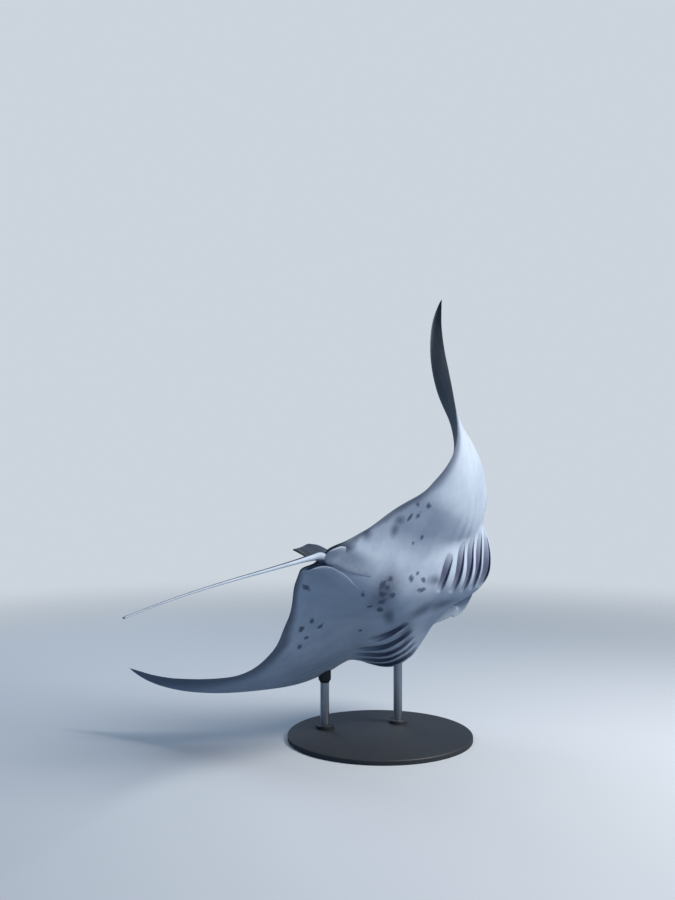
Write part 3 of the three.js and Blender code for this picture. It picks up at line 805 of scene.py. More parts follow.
    def belly_rows(self, out: Array, count: int = 48) -> Rows:
        """Rows of the lower face, from the front to the rear edge, folded in at each slit.

        Args:
            out: each station's distance from the midline.
            count: how many rows go behind the last slit.

        Returns:
            x, z and the colour fields of each row.
        """
        disc, rows, start = self.disc, [], self.disc.leading(out)
        left = (self.stations() > 0).astype(float)
        shifted = out + left * self.left_reach * smooth(0.14, 0.06, out) * smooth(0, 0.03, out)
        for k, gill in enumerate(self.gills):
            lip, opening = gill.lip(disc, shifted), gill.open(shifted)
            deep, wider = self.slit_depth[min(k, 1)] + self.left_depth * left, 1.0
            width = self.slit_width * disc.chord(out) / self.slit_chord
            if k == 0:
                width = self.first_slit * (lip - self.gills[1].lip(disc, shifted))
                wider = width / self.slit_width
            between_slits = 5 if k else 16
            for t in np.arange(min(k, 1), between_slits) / between_slits:
                share = t if k else 1 - math.cos(math.pi / 2 * t)
                swell = self.flap_swell * opening * smooth(0, 1, t)
                rows.append(self.belly_row(start + (lip - start) * share, out, -swell))
            steps = len(self.slit_profile) - 1
            for i, (ahead, depth, dark, swell) in enumerate(self.slit_profile):
                plain = lip - width * i / steps
                x = plain + opening * (lip + ahead * (wider if ahead < 0 else 1) - plain)
                inside = opening * (depth * deep - swell * self.flap_swell)
                # The slit's dark inner skin with painted shade, by the profile's darkness.
                rows.append(self.belly_row(x, out, inside, opening * dark))
            start = lip - width
        for t in np.arange(1, count) / count:
            share = 0.5 * math.sin(math.pi / 2 * t) + 0.5 * t
            rows.append(self.belly_row(start + (disc.trailing(out) - start) * share, out))
        return rows

    def disc_shell(self) -> Shell:
        """The disc and body as one shell, open nowhere.

        Returns:
            The shell, one ring for each station.
        """
        stations = self.stations()
        out = np.abs(stations)
        rows = [*self.back_rows(out), *self.mouth_rows(out), *self.belly_rows(out)]
        x, z, under, slit = (
            np.stack([row.get(name, np.zeros_like(out)) for row in rows], axis=1)
            for name in ("x", "z", "under", "slit")
        )
        y = np.broadcast_to(stations[:, None], x.shape)
        fields = {"under": under, "slit": slit, "rear": x - self.disc.trailing(out)[:, None]}
        for name, marks in (("spot", self.spots), ("smudge", self.soft_patches)):
            depth = np.max([mark.field(x, y) for mark in marks], axis=0)
            fields[name] = depth.clip(UNMARKED, 1)
        rings = np.stack([x, y, z], axis=2)
        for side in Side:
            rings = Eye(side).socket(rings)
        tips = tuple(np.array([TIP_X, side * HALF, 0.0]) for side in Side)
        return Shell("skin", rings, fields, tips)

    def cephalic_shell(self, side: Side, high: float, heading: float, curl: float,
                       droop: float) -> Shell:
        """One of the blades beside the mouth, curling towards the midline.

        Args:
            side: the animal's right or left.
            high: height of the root.
            heading: degrees from straight ahead at the root.
            curl: degrees more by the tip.
            droop: how far the tip sinks.

        Returns:
            The blade.
        """
        length, rooted = 0.122, 0.034
        root_x, root_y, tall, thick = 0.178, 0.092, 0.023, 0.0036
        s = np.linspace(-rooted, length, 65)
        t, step = clamp(s / length), s[1] - s[0]
        way = np.radians(heading * smooth(-0.02, 0.02, s) + curl * t**1.2)
        flare = 1 - smooth(-0.008, 0.05, s)
        x, y = (np.concatenate([[0], np.cumsum(wave(way[1:])) * step])[:, None]
                for wave in (np.cos, np.sin))
        x, y = root_x - rooted + x, root_y - y + 0.0035 * flare[:, None]
        z = (high - droop * t**2)[:, None]
        tall = tall * (1 - 0.25 * t) * rounded(1 - t, 0.3) * (1 - 0.14 * flare)
        thick = thick * (1 - 0.45 * t) * rounded(1 - t, 0.08) * (1 + 2.4 * flare)
        at = turns(36)
        across = thick[:, None] * power(np.cos(at), (1.25 - 0.45 * flare)[:, None])
        rings = np.stack([
            x + across * np.sin(way)[:, None], side * (y + across * np.cos(way)[:, None]),
            z + tall[:, None] * np.sin(at),
        ], axis=2)
        ends = (rings[0].mean(axis=0), rings[-1].mean(axis=0))
        boundary = (-0.05 + 0.6 * smooth(-0.01, 0.05, s[:-1]))[:, None]
        under = 1 - smooth(-0.22, 0.22, np.sin(at) - boundary)
        return Shell("cephalic", rings[:-1], plain_fields(under), ends)

    def pelvic_shell(self, side: Side) -> Shell:
        """The flat lobe between the root of the tail and the disc, lying on the belly.

        Args:
            side: the animal's right or left.

        Returns:
            The lobe.
        """
        front, rear, free, middle, half = -0.135, -0.281, -0.225, 0.0185, 0.017
        t = np.linspace(0.004, 0.996, 56)
        x = (front + (rear - front) * t)[:, None]
        end = rounded(1 - t, 0.22) * rounded(t, 0.05)
        inner, outer = (
            middle + way * half * (0.35 + 0.65 * smooth(0, full, t)) * end
            for way, full in ((-1, 0.5), (1, 0.7))
        )
        at = turns(32)
        out = ((inner + outer) / 2)[:, None] + ((outer - inner) / 2)[:, None] * np.cos(at)
        base = self.disc.surface(Face.BELLY, np.maximum(x, free), out)
        loose = smooth(free, rear, x)
        sunk = 0.0012 + 0.0022 * (out - middle) / half * (1 - loose)
        thick = (0.0026 * (0.4 + 0.6 * smooth(0.05, 0.6, t)) * end)[:, None]
        z = base + sunk - 0.009 * loose + thick * power(np.sin(at), 0.6)
        rings = np.stack([np.broadcast_to(x, out.shape), side * out, z], axis=2)
        ends = tuple(np.array([edge, side * middle, ring[:, 2].mean()])
                     for edge, ring in ((front, rings[0]), (rear, rings[-1])))
        under = np.broadcast_to(1 - smooth(0.0, 0.5, np.sin(at)), out.shape)
        fields = plain_fields(under)
        # Painted shade darkens the right lobe.
        if side is Side.RIGHT:
            fields["smudge"] = np.full(under.shape, self.lobe_shade)
        return Shell("pelvic", rings, fields, ends)

    def dorsal_shell(self) -> Shell:
        """The small fin on the root of the tail, raked back to a point.

        Returns:
            The fin, still over a straight tail.
        """
        rear, length, point, half_thick = -0.33, 0.145, 0.0184, 0.0042
        top = Curve((rear, point), (-0.302, 0.0186), (-0.275, 0.02), (-0.25, 0.0255),
                    (-0.22, 0.031), (-0.2, 0.029), (-0.185, 0.017))
        bottom = Curve((rear, point), (-0.314, 0.007), (-0.306, -0.001), (-0.295, -0.008),
                       (-0.185, -0.008))
        t, at = np.linspace(0.01, 1, 48), turns(28)
        x = (rear + length * t**1.3)[:, None]
        y = (half_thick * rounded(t, 0.8))[:, None] * power(np.cos(at), 1.4)
        z = bottom(x) + (top(x) - bottom(x)) / 2 * (1 + np.sin(at))
        rings = np.stack([np.broadcast_to(x, z.shape), y, z], axis=2)
        ends = (np.array([rear, 0, point]), rings[-1].mean(axis=0))
        return Shell("dorsal", rings, plain_fields(np.zeros(z.shape)), ends, on_tail=True)

    def tail_shell(self) -> Shell:
        """The whip, still straight behind the body, with a shallow groove along each side.

        Returns:
            The tail.
        """
        radius = Curve((0, 0.006), (0.025, 0.0082), (0.05, 0.0062), (0.12, 0.0038),
                       (0.3, 0.0022), (0.65, 0.001))
        along = (self.pose.tail_length * np.linspace(0, 1, 150) ** 1.15)[:, None]
        at, groove_depth, groove_width = turns(28), 0.16, 0.04
        groove = np.exp(-((np.abs(np.cos(at)) - 1) / groove_width) ** 2)
        r = radius(along) * (1 - groove_depth * groove)
        x = np.broadcast_to(self.pose.tail_start - along, r.shape)
        y, z = r * np.cos(at), self.pose.tail_height + r * np.sin(at)
        under = np.broadcast_to(1 - smooth(0.0, 0.35, np.sin(at)), r.shape)
        return Shell("tail", np.stack([x, y, z], axis=2), plain_fields(under), on_tail=True)

    def build(self) -> Piece:
        """Makes every shell in the pose and joins them.

        Returns:
            The skin.
        """
        shells = (
            self.disc_shell(),
            self.cephalic_shell(Side.RIGHT, -0.0069, 16, 99, 0.0236),
            self.cephalic_shell(Side.LEFT, 0.003, 53.5, 28, 0.031),
            *(self.pelvic_shell(side) for side in Side),
            self.dorsal_shell(), self.tail_shell(),
            *(Eye(side).lid_shell() for side in Side),
        )
        made = [shell.build(self.pose) for shell in shells]
        bpy.ops.object.select_all(action="DESELECT")
        for piece in made:
            piece.select_set(True)
        bpy.context.view_layer.objects.active = made[0]
        bpy.ops.object.join()
        skin = bpy.context.active_object
        skin.name = "skin"
        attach(skin, "root")
        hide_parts(*FLESH)
        return skin

    def dress(self, skin: Piece) -> None:
        """Gives the skin its colours.

        Args:
            skin: the skin.
        """
        skin.data.materials.clear()
        skin.data.materials.append(HideFinish().make())


@dataclass(frozen=True)
class Eye:
    """An eye at the front corner of the head, with its lids."""

    side: Side
    centre: Triple = (0.159, 0.1125, 0.003)
    radius: float = 0.0085
    gaze: Triple = (0.62, 0.78, 0.0)
    # In radii from the centre: how far the skin sinks behind the ball and stays off its front,
    # how soft the join is, and from where to where the skin round it rises.
    sunk: float = 0.85
    off: float = 1.04
    soft: float = 0.25
    mound: Pair = (3.2, 1.6)
    bare: Pair = (58, 78)  # degrees from the gaze where the skin starts and is complete
    # From the front of the lids back into the head: size in radii, degrees beyond the opening.
    lid_profile: tuple[Pair, ...] = (
        (0.93, -6), (0.99, -4), (1.045, -1.5), (1.085, 2), (1.105, 6), (1.09, 10), (1.1, 14),
        (1.13, 19), (1.14, 24), (1.115, 29), (1.125, 34), (1.12, 40), (1.06, 47), (0.97, 55),
        (0.86, 63),
    )

    def axes(self) -> Array:
        """The eye's own directions.

        Returns:
            Across, up and out along the gaze, as rows.
        """
        look = np.array([self.gaze[0], self.side * self.gaze[1], self.gaze[2]])
        look /= np.linalg.norm(look)
        up = np.array([0.0, 0.0, 1.0])
        return np.array([np.cross(up, look), up, look])

    def place(self) -> Array:
        """Centre of the eye in the flat animal."""
        return np.array([self.centre[0], self.side * self.centre[1], self.centre[2]])

    def socket(self, skin: Array) -> Array:
        """Raises the skin round the ball into a low mound.

        Args:
            skin: places on the skin, in an array whose last axis is x, y, z.

        Returns:
            The places, moved straight away from the ball's centre.
        """
        way = skin - self.place()
        reach = np.linalg.norm(way, axis=-1)
        tilt = np.degrees(np.arccos(np.clip(way @ self.axes()[2] / reach, -1, 1)))
        gap, soft = reach - self.off * self.radius, self.soft * self.radius
        raised = reach + (np.sqrt(gap**2 + soft**2) - gap) / 2
        sunk = np.minimum(reach, self.sunk * self.radius)
        goal = sunk + (raised - sunk) * smooth(*self.bare, tilt)
        share = smooth(*self.mound, reach / self.radius)
        return self.place() + way * (1 + (goal / reach - 1) * share)[..., None]

    def lid_shell(self) -> Shell:
        """The ring of lids round the ball, sinking into the head behind it.

        Returns:
            The lids.
        """
        at = turns(48)
        opening = 52 - 13 * np.abs(np.sin(at)) ** 1.5
        axes, rings = self.axes(), []
        for size, more in self.lid_profile:
            tilt = np.radians(opening + more)
            local = np.stack([np.sin(tilt) * np.cos(at), np.sin(tilt) * np.sin(at),
                              np.cos(tilt)], axis=1) * size * self.radius
            rings.append(self.place() + local @ axes)
        front, back = (self.place() + axes[2] * deep * self.radius for deep in (0.5, -0.9))
        grid = np.array(rings)
        under = np.broadcast_to(1 - smooth(-0.9, -0.3, np.sin(at)), grid.shape[:2])
        return Shell("lid", grid, plain_fields(under), (front, back))

    def build(self, pose: Pose) -> Piece:
        """The ball, with places in its own frame kept for the pupil.

        Args:
            pose: where the animal glides.

        Returns:
            The eye in the room.
        """
        ball, places = unit_ball(f"eyeball_{self.side.name.lower()}", 48, 32)
        keep(ball, "gaze", places)
        flat = self.place() + places @ self.axes() * self.radius * 0.985
        reshape(ball, pose.room(pose.bend_disc(flat)))
        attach(ball, "root")
        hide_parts(f"eye_{self.side.name.lower()}")
        return ball

    def dress(self, ball: Piece, gloss: Material) -> None:
        """Gives the ball its gloss."""
        ball.data.materials.append(gloss)


# ---------------------------------------------------------------- shader nodes


@dataclass(frozen=True)
class Value:
    """What a node works out, open to plain arithmetic with numbers and other values."""

    wires: "Wires"
    socket: bpy.types.NodeSocket

    def __add__(self, other: object) -> "Value":
        """The sum."""
        return self.wires.math("ADD", self, other)

    def __sub__(self, other: object) -> "Value":
        """The difference."""
        return self.wires.math("SUBTRACT", self, other)

    def __mul__(self, other: object) -> "Value":
        """The product."""
        return self.wires.math("MULTIPLY", self, other)

    def __truediv__(self, other: object) -> "Value":
        """The quotient."""
        return self.wires.math("DIVIDE", self, other)


@dataclass(frozen=True)
class Wires:
    """A node tree being wired, for a material, a group or the world."""

    tree: bpy.types.NodeTree

    def feed(self, node: Node, inputs: Inputs) -> None:
        """Links values to a node's inputs, or sets their numbers and colours.

        Args:
            node: the node.
            inputs: what goes into each input, by its name or number.
        """
        for name, value in inputs.items():
            if isinstance(value, Value):
                self.tree.links.new(value.socket, node.inputs[name])
            else:
                node.inputs[name].default_value = value

    def add(self, kind: str, inputs: Inputs | None = None, **settings: object) -> Node:
        """A new node.

        Args:
            kind: its type.
            inputs: what goes into each input, by its name or number.
            settings: its own settings.

        Returns:
            The node.
        """
        node = self.tree.nodes.new(kind)
        for name, value in settings.items():
            setattr(node, name, value)
        self.feed(node, inputs or {})
        return node

    def get(self, kind: str, output: str | int, inputs: Inputs | None = None,
            **settings: object) -> Value:
        """One output of a new node, by its name or number."""
        return Value(self, self.add(kind, inputs, **settings).outputs[output])

    def math(self, operation: str, *values: object) -> Value:
        """The result of a math node on numbers or values."""
        return self.get("ShaderNodeMath", 0, dict(enumerate(values)), operation=operation)

    def step(self, value: Value, low: float, high: float) -> Value:
        """A soft step.

        Args:
            value: what it goes by.
            low: where the result is 0.
            high: where it is 1, above low or below it.

        Returns:
            The result, from 0 to 1.
        """
        ends = (low, high, 0.0, 1.0) if low < high else (high, low, 1.0, 0.0)
        inputs = dict(zip(("From Min", "From Max", "To Min", "To Max"), ends), Value=value)
        return self.get("ShaderNodeMapRange", "Result", inputs, interpolation_type="SMOOTHSTEP")

    def mix(self, share: object, first: object, second: object) -> Value:
        """The first colour with a share of the second in it."""
        return self.get("ShaderNodeMix", 2, {0: share, 6: first, 7: second}, data_type="RGBA")

    def noise(self, at: Value, scale: object, detail: float = 3.0, rough: float = 0.5) -> Value:
        """Fractal noise at a place, around 0.5."""
        inputs = {"Vector": at, "Scale": scale, "Detail": detail, "Roughness": rough}
        return self.get("ShaderNodeTexNoise", "Fac", inputs)

    def streaks(self, at: Value, scale: Triple, detail: float, rough: float = 0.5,
                size: float = 1.0) -> Value:
        """Noise drawn out along the axes with a small scale."""
        place = self.get("ShaderNodeMapping", "Vector", {"Vector": at, "Scale": scale})
        return self.noise(place, size, detail, rough)

    def known(self, name: str, kind: str = "Fac") -> Value:
        """One of the mesh's own fields."""
        return self.get("ShaderNodeAttribute", kind, attribute_name=name)

    def split(self, at: Value) -> list[Value]:
        """The x, y and z of a place."""
        node = self.add("ShaderNodeSeparateXYZ", {0: at})
        return [Value(self, socket) for socket in node.outputs]

    def room(self) -> Value:
        """The place in the room."""
        return self.get("ShaderNodeTexCoord", "Object")

    def seen(self) -> Value:
        """1 for what the camera sees itself, and 0 for what lights something else."""
        return self.get("ShaderNodeLightPath", "Is Camera Ray")

    def relief(self, height: Value, strength: float, distance: float) -> Value:
        """Directions of a surface with small heights on it."""
        inputs = {"Height": height, "Strength": strength, "Distance": distance}
        return self.get("ShaderNodeBump", "Normal", inputs)

    def grain(self, scale: float) -> tuple[Value, Value]:
        """The fine grain over the room.

        Args:
            scale: how many patches there are to a metre.

        Returns:
            Its patches and its heights.
        """
        inputs = {"Vector": self.room(), "Scale": scale}
        node = self.add("ShaderNodeGroup", inputs, node_tree=grain_group())
        return Value(self, node.outputs["Patches"]), Value(self, node.outputs["Height"])


def grain_group() -> bpy.types.NodeTree:
    """A fine grain that skin and paint share.

    Returns:
        The group, with a mask of small patches and a height for bumps.
    """
    name = "fine_grain"
    if name in bpy.data.node_groups:
        return bpy.data.node_groups[name]
    tree = bpy.data.node_groups.new(name, "ShaderNodeTree")
    for label, way, kind in (("Vector", "INPUT", "Vector"), ("Scale", "INPUT", "Float"),
                             ("Patches", "OUTPUT", "Float"), ("Height", "OUTPUT", "Float")):
        tree.interface.new_socket(label, in_out=way, socket_type=f"NodeSocket{kind}")
    w = Wires(tree)
    given = w.add("NodeGroupInput").outputs
    place, scale = Value(w, given["Vector"]), Value(w, given["Scale"])
    patches = w.noise(place, scale, 5.0, 0.6)
    cells = w.get("ShaderNodeTexVoronoi", "Distance", {"Vector": place, "Scale": scale * 9.0})
    height = patches * 0.6 + cells * 0.4
    w.add("NodeGroupOutput", {"Patches": patches, "Height": height})
    return tree


@dataclass(frozen=True)
class Finish:
    """A surface finish: its name and how rough it is."""

    name: str
    roughness: float

    def start(self) -> tuple[Wires, Node, Material]:
        """A new material.

        Returns:
            Its wires, its shader and the material.
        """
        material = bpy.data.materials.new(self.name)
        material.use_nodes = True
        material.node_tree.nodes.clear()
        w = Wires(material.node_tree)
        shader = w.add("ShaderNodeBsdfPrincipled", {"Roughness": self.roughness})
        w.add("ShaderNodeOutputMaterial", {"Surface": Value(w, shader.outputs["BSDF"])})
        return w, shader, material

    def uneven(self, noise: Value, spread: float) -> Value:
        """Roughness that a noise makes uneven."""
        return noise * spread + (self.roughness - 0.08)


@dataclass(frozen=True)
class HideFinish(Finish):
    """The animal's skin: slate back, pale belly, grey margins, spots, dark slits with painted
    shade in them, and painted shade in the mouth and spiracles.
    """

    name: str = "manta_hide"
    roughness: float = 0.42
    slate: Colour = (0.028, 0.036, 0.05, 1)
    slate_light: Colour = (0.05, 0.06, 0.08, 1)
    shoulder: Colour = (0.21, 0.24, 0.29, 1)
    pale: Colour = (0.62, 0.7, 0.8, 1)
    shade: Colour = (0.24, 0.32, 0.46, 1)
    # The slits' dark inner skin with painted shade, and the painted shade inside the mouth.
    dark: Colour = (0.085, 0.09, 0.18, 1)
    mark: Colour = (0.065, 0.085, 0.15, 1)
    sheen: Colour = (0.07, 0.095, 0.135, 1)
    rakers: Colour = (0.3, 0.31, 0.36, 1)
    # Near-black painted shade, deep in the slits and mouth and in the spiracles.
    deep_shade: Colour = (0.006, 0.007, 0.01, 1)
    # Where each soft step starts and ends, along x or out from the midline.
    mouth_front: Pair = (0.125, 0.14)
    mouth_side: Pair = (0.076, 0.066)
    wing_tip: Pair = (0.36, 0.5)
    shoulder_rear: Pair = (-0.045, 0.06)
    shoulder_front: Pair = (0.1, 0.08)
    shoulder_inner: Pair = (0.04, 0.09)
    shoulder_outer: Pair = (0.26, 0.14)
    margin: Pair = (0.012, 0.03)  # its width at the body, and how much more at the tip
    spiracle: Pair = (0.126, 0.094)  # its x and distance out
    spiracle_scale: Pair = (130.0, 480.0)
    spiracle_slant: float = 1.2
    rakers_scale: float = 1100.0
    grain_scale: float = 60.0
    relief: float = 0.24

    def make(self) -> Material:
        """Mixes the back, the belly and the painted shade of the hollows by the skin's own
        fields.

        Returns:
            The material.
        """
        w, shader, material = self.start()
        flat = w.known("flat", "Vector")
        under, slit, rear, spot, smudge = (w.known(name) for name in FIELDS)
        x, y, _ = w.split(flat)
        out = w.math("ABSOLUTE", y)
        cloud, mottle = w.noise(flat, 9.0, 4.0, 0.55), w.noise(flat, 42.0, 4.0, 0.6)
        streaks = w.streaks(flat, (60.0, 9.0, 20.0), 3.0, 0.6)
        belly = self.belly(w, (rear, spot, smudge), flat, out, (cloud, mottle))
        back = self.back(w, x, out, (cloud, mottle, streaks))
        colour = w.mix(w.step(under + (cloud - 0.5) * 0.3, 0.35, 0.65), back, belly)
        rakers = w.step(w.math("SINE", out * self.rakers_scale), 0.1, 0.9)
        mouth = w.step(x, *self.mouth_front) * rakers * w.step(out, *self.mouth_side)
        fringe = w.step(w.streaks(flat, (30.0, 900.0, 30.0), 2.0), 0.35, 0.65)
        # Painted shade for the slits and mouth, over the slits' dark skin, streaked with deeper
        # painted shade, with the rakers in the mouth.
        hollow = w.mix(mouth, w.mix(fringe * 0.35, self.dark, self.deep_shade), self.rakers)
        height = w.grain(self.grain_scale)[1] * 0.25 + streaks * (under * 0.9)
        w.feed(shader, {
            # The slit field lays that painted shade over the skin's colour.
            "Base Color": w.mix(slit * 0.92, colour, hollow),
            "Normal": w.relief(height, self.relief, 0.01),
            "Roughness": self.uneven(mottle, 0.16),
        })
        return material

    def belly(self, w: Wires, known: tuple[Value, ...], flat: Value, out: Value,
              noise: tuple[Value, ...]) -> Value:
        """Colour of the underside.

        Args:
            w: the material's wires.
            known: distance from the rear margin, depth inside a spot, and soft patches with
                painted shade.
            flat: the flat animal's places.
            out: distance from the midline.
            noise: broad and fine.

        Returns:
            The colour.
        """
        rear, spot, smudge = known
        cloud, mottle = noise
        base = w.mix(0.35, self.pale, w.mix(w.step(cloud, 0.35, 0.7), self.pale, self.shade))
        width = w.step(out, 0.05, 0.45) * self.margin[1] + self.margin[0]
        margin = w.step((rear + (cloud - 0.5) * 0.05) / width, 1.6, 0.3)
        grey = w.math("MAXIMUM", margin * 0.75, w.step(out, *self.wing_tip) * 0.6)
        blotch = w.noise(flat, 110.0, 3.0, 0.6) - 0.5
        # Soft darker patches, and painted shade on the right pelvic lobe.
        soft = w.step(smudge + blotch * 0.5, -0.5, 1.1)
        marks = w.step(spot + blotch * 1.6, -0.1, 0.6)
        for share in (grey, soft * 0.75, marks * 0.85):
            base = w.mix(share, base, self.mark)
        return w.mix(w.step(mottle, 0.4, 0.75) * 0.18, base, self.shade)

    def back(self, w: Wires, x: Value, out: Value, noise: tuple[Value, ...]) -> Value:
        """Colour of the upper side, with the spiracle behind each eye painted as a slit of shade.

        Args:
            w: the material's wires.
            x: place along the body.
            out: distance from the midline.
            noise: broad, fine, and drawn out along the span.

        Returns:
            The colour.
        """
        cloud, mottle, streaks = noise
        ragged = (cloud - 0.5) * 0.1 + (mottle - 0.5) * 0.03
        ahead = x + ragged - out * 0.3
        band = w.step(ahead, *self.shoulder_rear) * w.step(ahead, *self.shoulder_front)
        inner = w.step(out + x * 0.45 + ragged, *self.shoulder_inner)
        patch = band * (inner * w.step(out, *self.shoulder_outer))
        base = w.mix(w.step(mottle, 0.35, 0.75), self.slate, self.slate_light)
        base = w.mix(w.step(streaks, 0.48, 0.75) * 0.5, base, self.sheen)
        base = w.mix(patch * 0.85, base, self.shoulder)
        # Painted shade: the spiracle's opening drawn as a near-black slit.
        along = (x - self.spiracle[0]) * self.spiracle_scale[0]
        across = (out - self.spiracle[1]) * self.spiracle_scale[1] + along * self.spiracle_slant
        inside = w.step(along * along + across * across, 1.3, 0.6)
        return w.mix(inside * 0.9, base, self.deep_shade)


@dataclass(frozen=True)
class EyeFinish(Finish):
    """A dark, wet eye with a low wide pupil in a brown iris."""

    name: str = "eye_gloss"
    roughness: float = 0.08
    pupil: Colour = (0.002, 0.002, 0.003, 1)
    iris: tuple[Colour, Colour] = ((0.018, 0.012, 0.008, 1), (0.09, 0.07, 0.05, 1))
    flatness: float = 1.9  # of the pupil
    pupil_edge: Pair = (0.3, 0.36)

    def make(self) -> Material:
        """Sets the pupil in its iris, under a clear coat.

        Returns:
            The material.
        """
        w, shader, material = self.start()
        gaze = w.known("gaze", "Vector")
        wide, tall, _ = w.split(gaze)
        tall = tall * self.flatness
        reach = w.math("SQRT", wide * wide + tall * tall)
        iris = w.mix(w.streaks(gaze, (9.0, 9.0, 2.0), 4.0, 0.6, 2.0), *self.iris)
        colour = w.mix(w.step(reach, *self.pupil_edge), self.pupil, iris)
        w.feed(shader, {"Base Color": colour, "Coat Weight": 1.0, "Coat Roughness": 0.04})
        return material


@dataclass(frozen=True)
class PaintFinish(Finish):
    """Matt dark paint with a faint texture."""

    name: str = "stand_paint"
    roughness: float = 0.5
    tones: tuple[Colour, Colour] = ((0.026, 0.028, 0.031, 1), (0.042, 0.045, 0.05, 1))

    def make(self) -> Material:
        """Mixes two tones and a fine grain.

        Returns:
            The material.
        """
        w, shader, material = self.start()
        patches, height = w.grain(90.0)
        w.feed(shader, {
            "Base Color": w.mix(w.noise(w.room(), 3.0), *self.tones),
            "Roughness": self.uneven(patches, 0.16),
            "Normal": w.relief(height, 0.12, 0.002),
        })
        return material


@dataclass(frozen=True)
class SteelFinish(Finish):
    """Brushed steel, with fine lines round the rods."""

    name: str = "stand_steel"
    roughness: float = 0.32
    tones: tuple[Colour, Colour] = ((0.42, 0.43, 0.45, 1), (0.6, 0.61, 0.63, 1))

    def make(self) -> Material:
        """Mixes two tones along the fine lines.

        Returns:
            The material.
        """
        w, shader, material = self.start()
        lines = w.streaks(w.room(), (6.0, 6.0, 900.0), 2.0)
        w.feed(shader, {
            "Base Color": w.mix(lines, *self.tones), "Metallic": 1.0,
            "Roughness": self.uneven(lines, 0.18),
            "Normal": w.relief(lines, 0.1, 0.001),
        })
        return material


# ---------------------------------------------------------------- stand and studio


@dataclass
class Stand:
    """The round base and two rods, each with a collar at its foot and a saddle on top."""

    base_edge: float = 0.008
    collar_edge: float = 0.006
    flare: float = 0.02  # height of the cone between a rod and its saddle
    bite: float = 0.003  # how far a saddle's rim goes into the skin
    sharpest: float = 30.0  # degrees between two faces that still look like one

    def profile(self, radius: float, tall: float, edge: float,
                foot: float) -> list[Pair]:
        """Half the outline of a round piece.

        Args:
            radius: of the piece.
            tall: its height.
            edge: radius of the rounding on top, or 0.
            foot: radius at the foot where that is narrower, or 0.

        Returns:
            Radius and height from the foot to the top.
        """
        steps = [(foot, 0.0), (radius, self.flare)] if foot else [(radius, 0.0)]
        for degrees in (0, 22.5, 45, 67.5, 90) if edge else ():
            a = math.radians(degrees)
            steps.append((radius - edge * (1 - math.cos(a)), tall - edge * (1 - math.sin(a))))
        return steps if edge else [*steps, (radius, tall)]

    def round_piece(self, name: str, node: str, axis: str, sides: int, edge: float = 0.0,
                    foot: float = 0.0) -> Piece:
        """A smooth upright piece of round section in the place of a faceted one.

        Args:
            name: the new piece's name.
            node: the CAD node that it stands for.
            axis: the node whose middle it is centred on.
            sides: how many facets it is made with.
            edge: radius of the rounding on top, or 0.
            foot: radius at the foot where that is narrower, or 0.

        Returns:
            The piece.
        """
        low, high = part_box(node)
        middle = sum(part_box(axis), Vector()) / 2
        steps = self.profile((high.x - low.x) / 2, high.z - low.z, edge, foot)
        bpy.ops.object.select_all(action="DESELECT")
        bpy.ops.mesh.primitive_circle_add(vertices=sides, radius=steps[0][0], fill_type="NGON",
                                          location=(middle.x, middle.y, low.z))
        piece = bpy.context.active_object
        piece.name = piece.data.name = name
        bpy.ops.object.transform_apply(location=True, rotation=True, scale=True)
        bpy.ops.object.mode_set(mode="EDIT")
        bpy.ops.mesh.select_all(action="SELECT")
        for (narrow, under), (wide, over) in zip(steps, steps[1:]):
            bpy.ops.mesh.extrude_region_move(
                TRANSFORM_OT_translate={"value": (0, 0, over - under)})
            bpy.ops.transform.resize(value=(wide / narrow, wide / narrow, 1),
                                     center_override=(middle.x, middle.y, low.z + over))
        bpy.ops.object.mode_set(mode="OBJECT")
        face_out(piece)
        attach(piece, "root")
        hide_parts(node)
        return piece

    def fit(self, saddle: Piece, skin: Piece) -> None:
        """Raises a saddle's rim until it follows the skin above it.

        Args:
            saddle: the saddle.
            skin: what it carries.
        """
        top = max(vertex.co.z for vertex in saddle.data.vertices)
        for vertex in saddle.data.vertices:
            if vertex.co.z > top - 1e-4:
                below = Vector((vertex.co.x, vertex.co.y, 0.0))
                found, place, _, _ = skin.ray_cast(below, Vector((0, 0, 1)))
                vertex.co.z = place.z + self.bite if found else top

    def build(self, skin: Piece) -> list[Piece]:
        """Makes the stand under the animal.

        Args:
            skin: the animal's skin, which the saddles follow.

        Returns:
            The pieces.
        """
        pieces = [self.round_piece("base_disc", "stand_base", "stand_base", 160, self.base_edge)]
        for end in ("head", "wing"):
            rod = f"stand_rod_{end}"
            low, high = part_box(rod)
            saddle = self.round_piece(f"saddle_{end}", f"stand_saddle_{end}", rod, 96,
                                      foot=(high.x - low.x) / 2)
            self.fit(saddle, skin)
            pieces += [
                saddle, self.round_piece(f"rod_{end}", rod, rod, 64),
                self.round_piece(f"collar_{end}", f"stand_collar_{end}", rod, 96,
                                 self.collar_edge),
            ]
        return pieces

    def dress(self, pieces: list[Piece]) -> None:
        """Gives the rods steel and the rest paint.

        Args:
            pieces: the stand's pieces.
        """
        paint, steel = PaintFinish().make(), SteelFinish().make()
        for piece in pieces:
            rod = piece.name.startswith("rod")
            only(piece)
            bpy.ops.object.shade_smooth_by_angle(angle=math.radians(self.sharpest))
            piece.data.materials.append(steel if rod else paint)


@dataclass(frozen=True)
class Lamp:
    """A soft square light, its size in metres and its power in watts."""

    name: str
    place: Triple
    size: float
    watts: float
    colour: Triple

    def build(self, aim: Triple) -> Piece:
        """Hangs the light.

        Args:
            aim: the point that it faces.

        Returns:
            The light.
        """
        data = bpy.data.lights.new(self.name, "AREA")
        data.size, data.energy, data.color = self.size, self.watts, self.colour
        light = bpy.data.objects.new(self.name, data)
        light.location = self.place
        way = Vector(aim) - Vector(self.place)
        light.rotation_euler = way.to_track_quat("-Z", "Y").to_euler()
        bpy.context.scene.collection.objects.link(light)
        return light


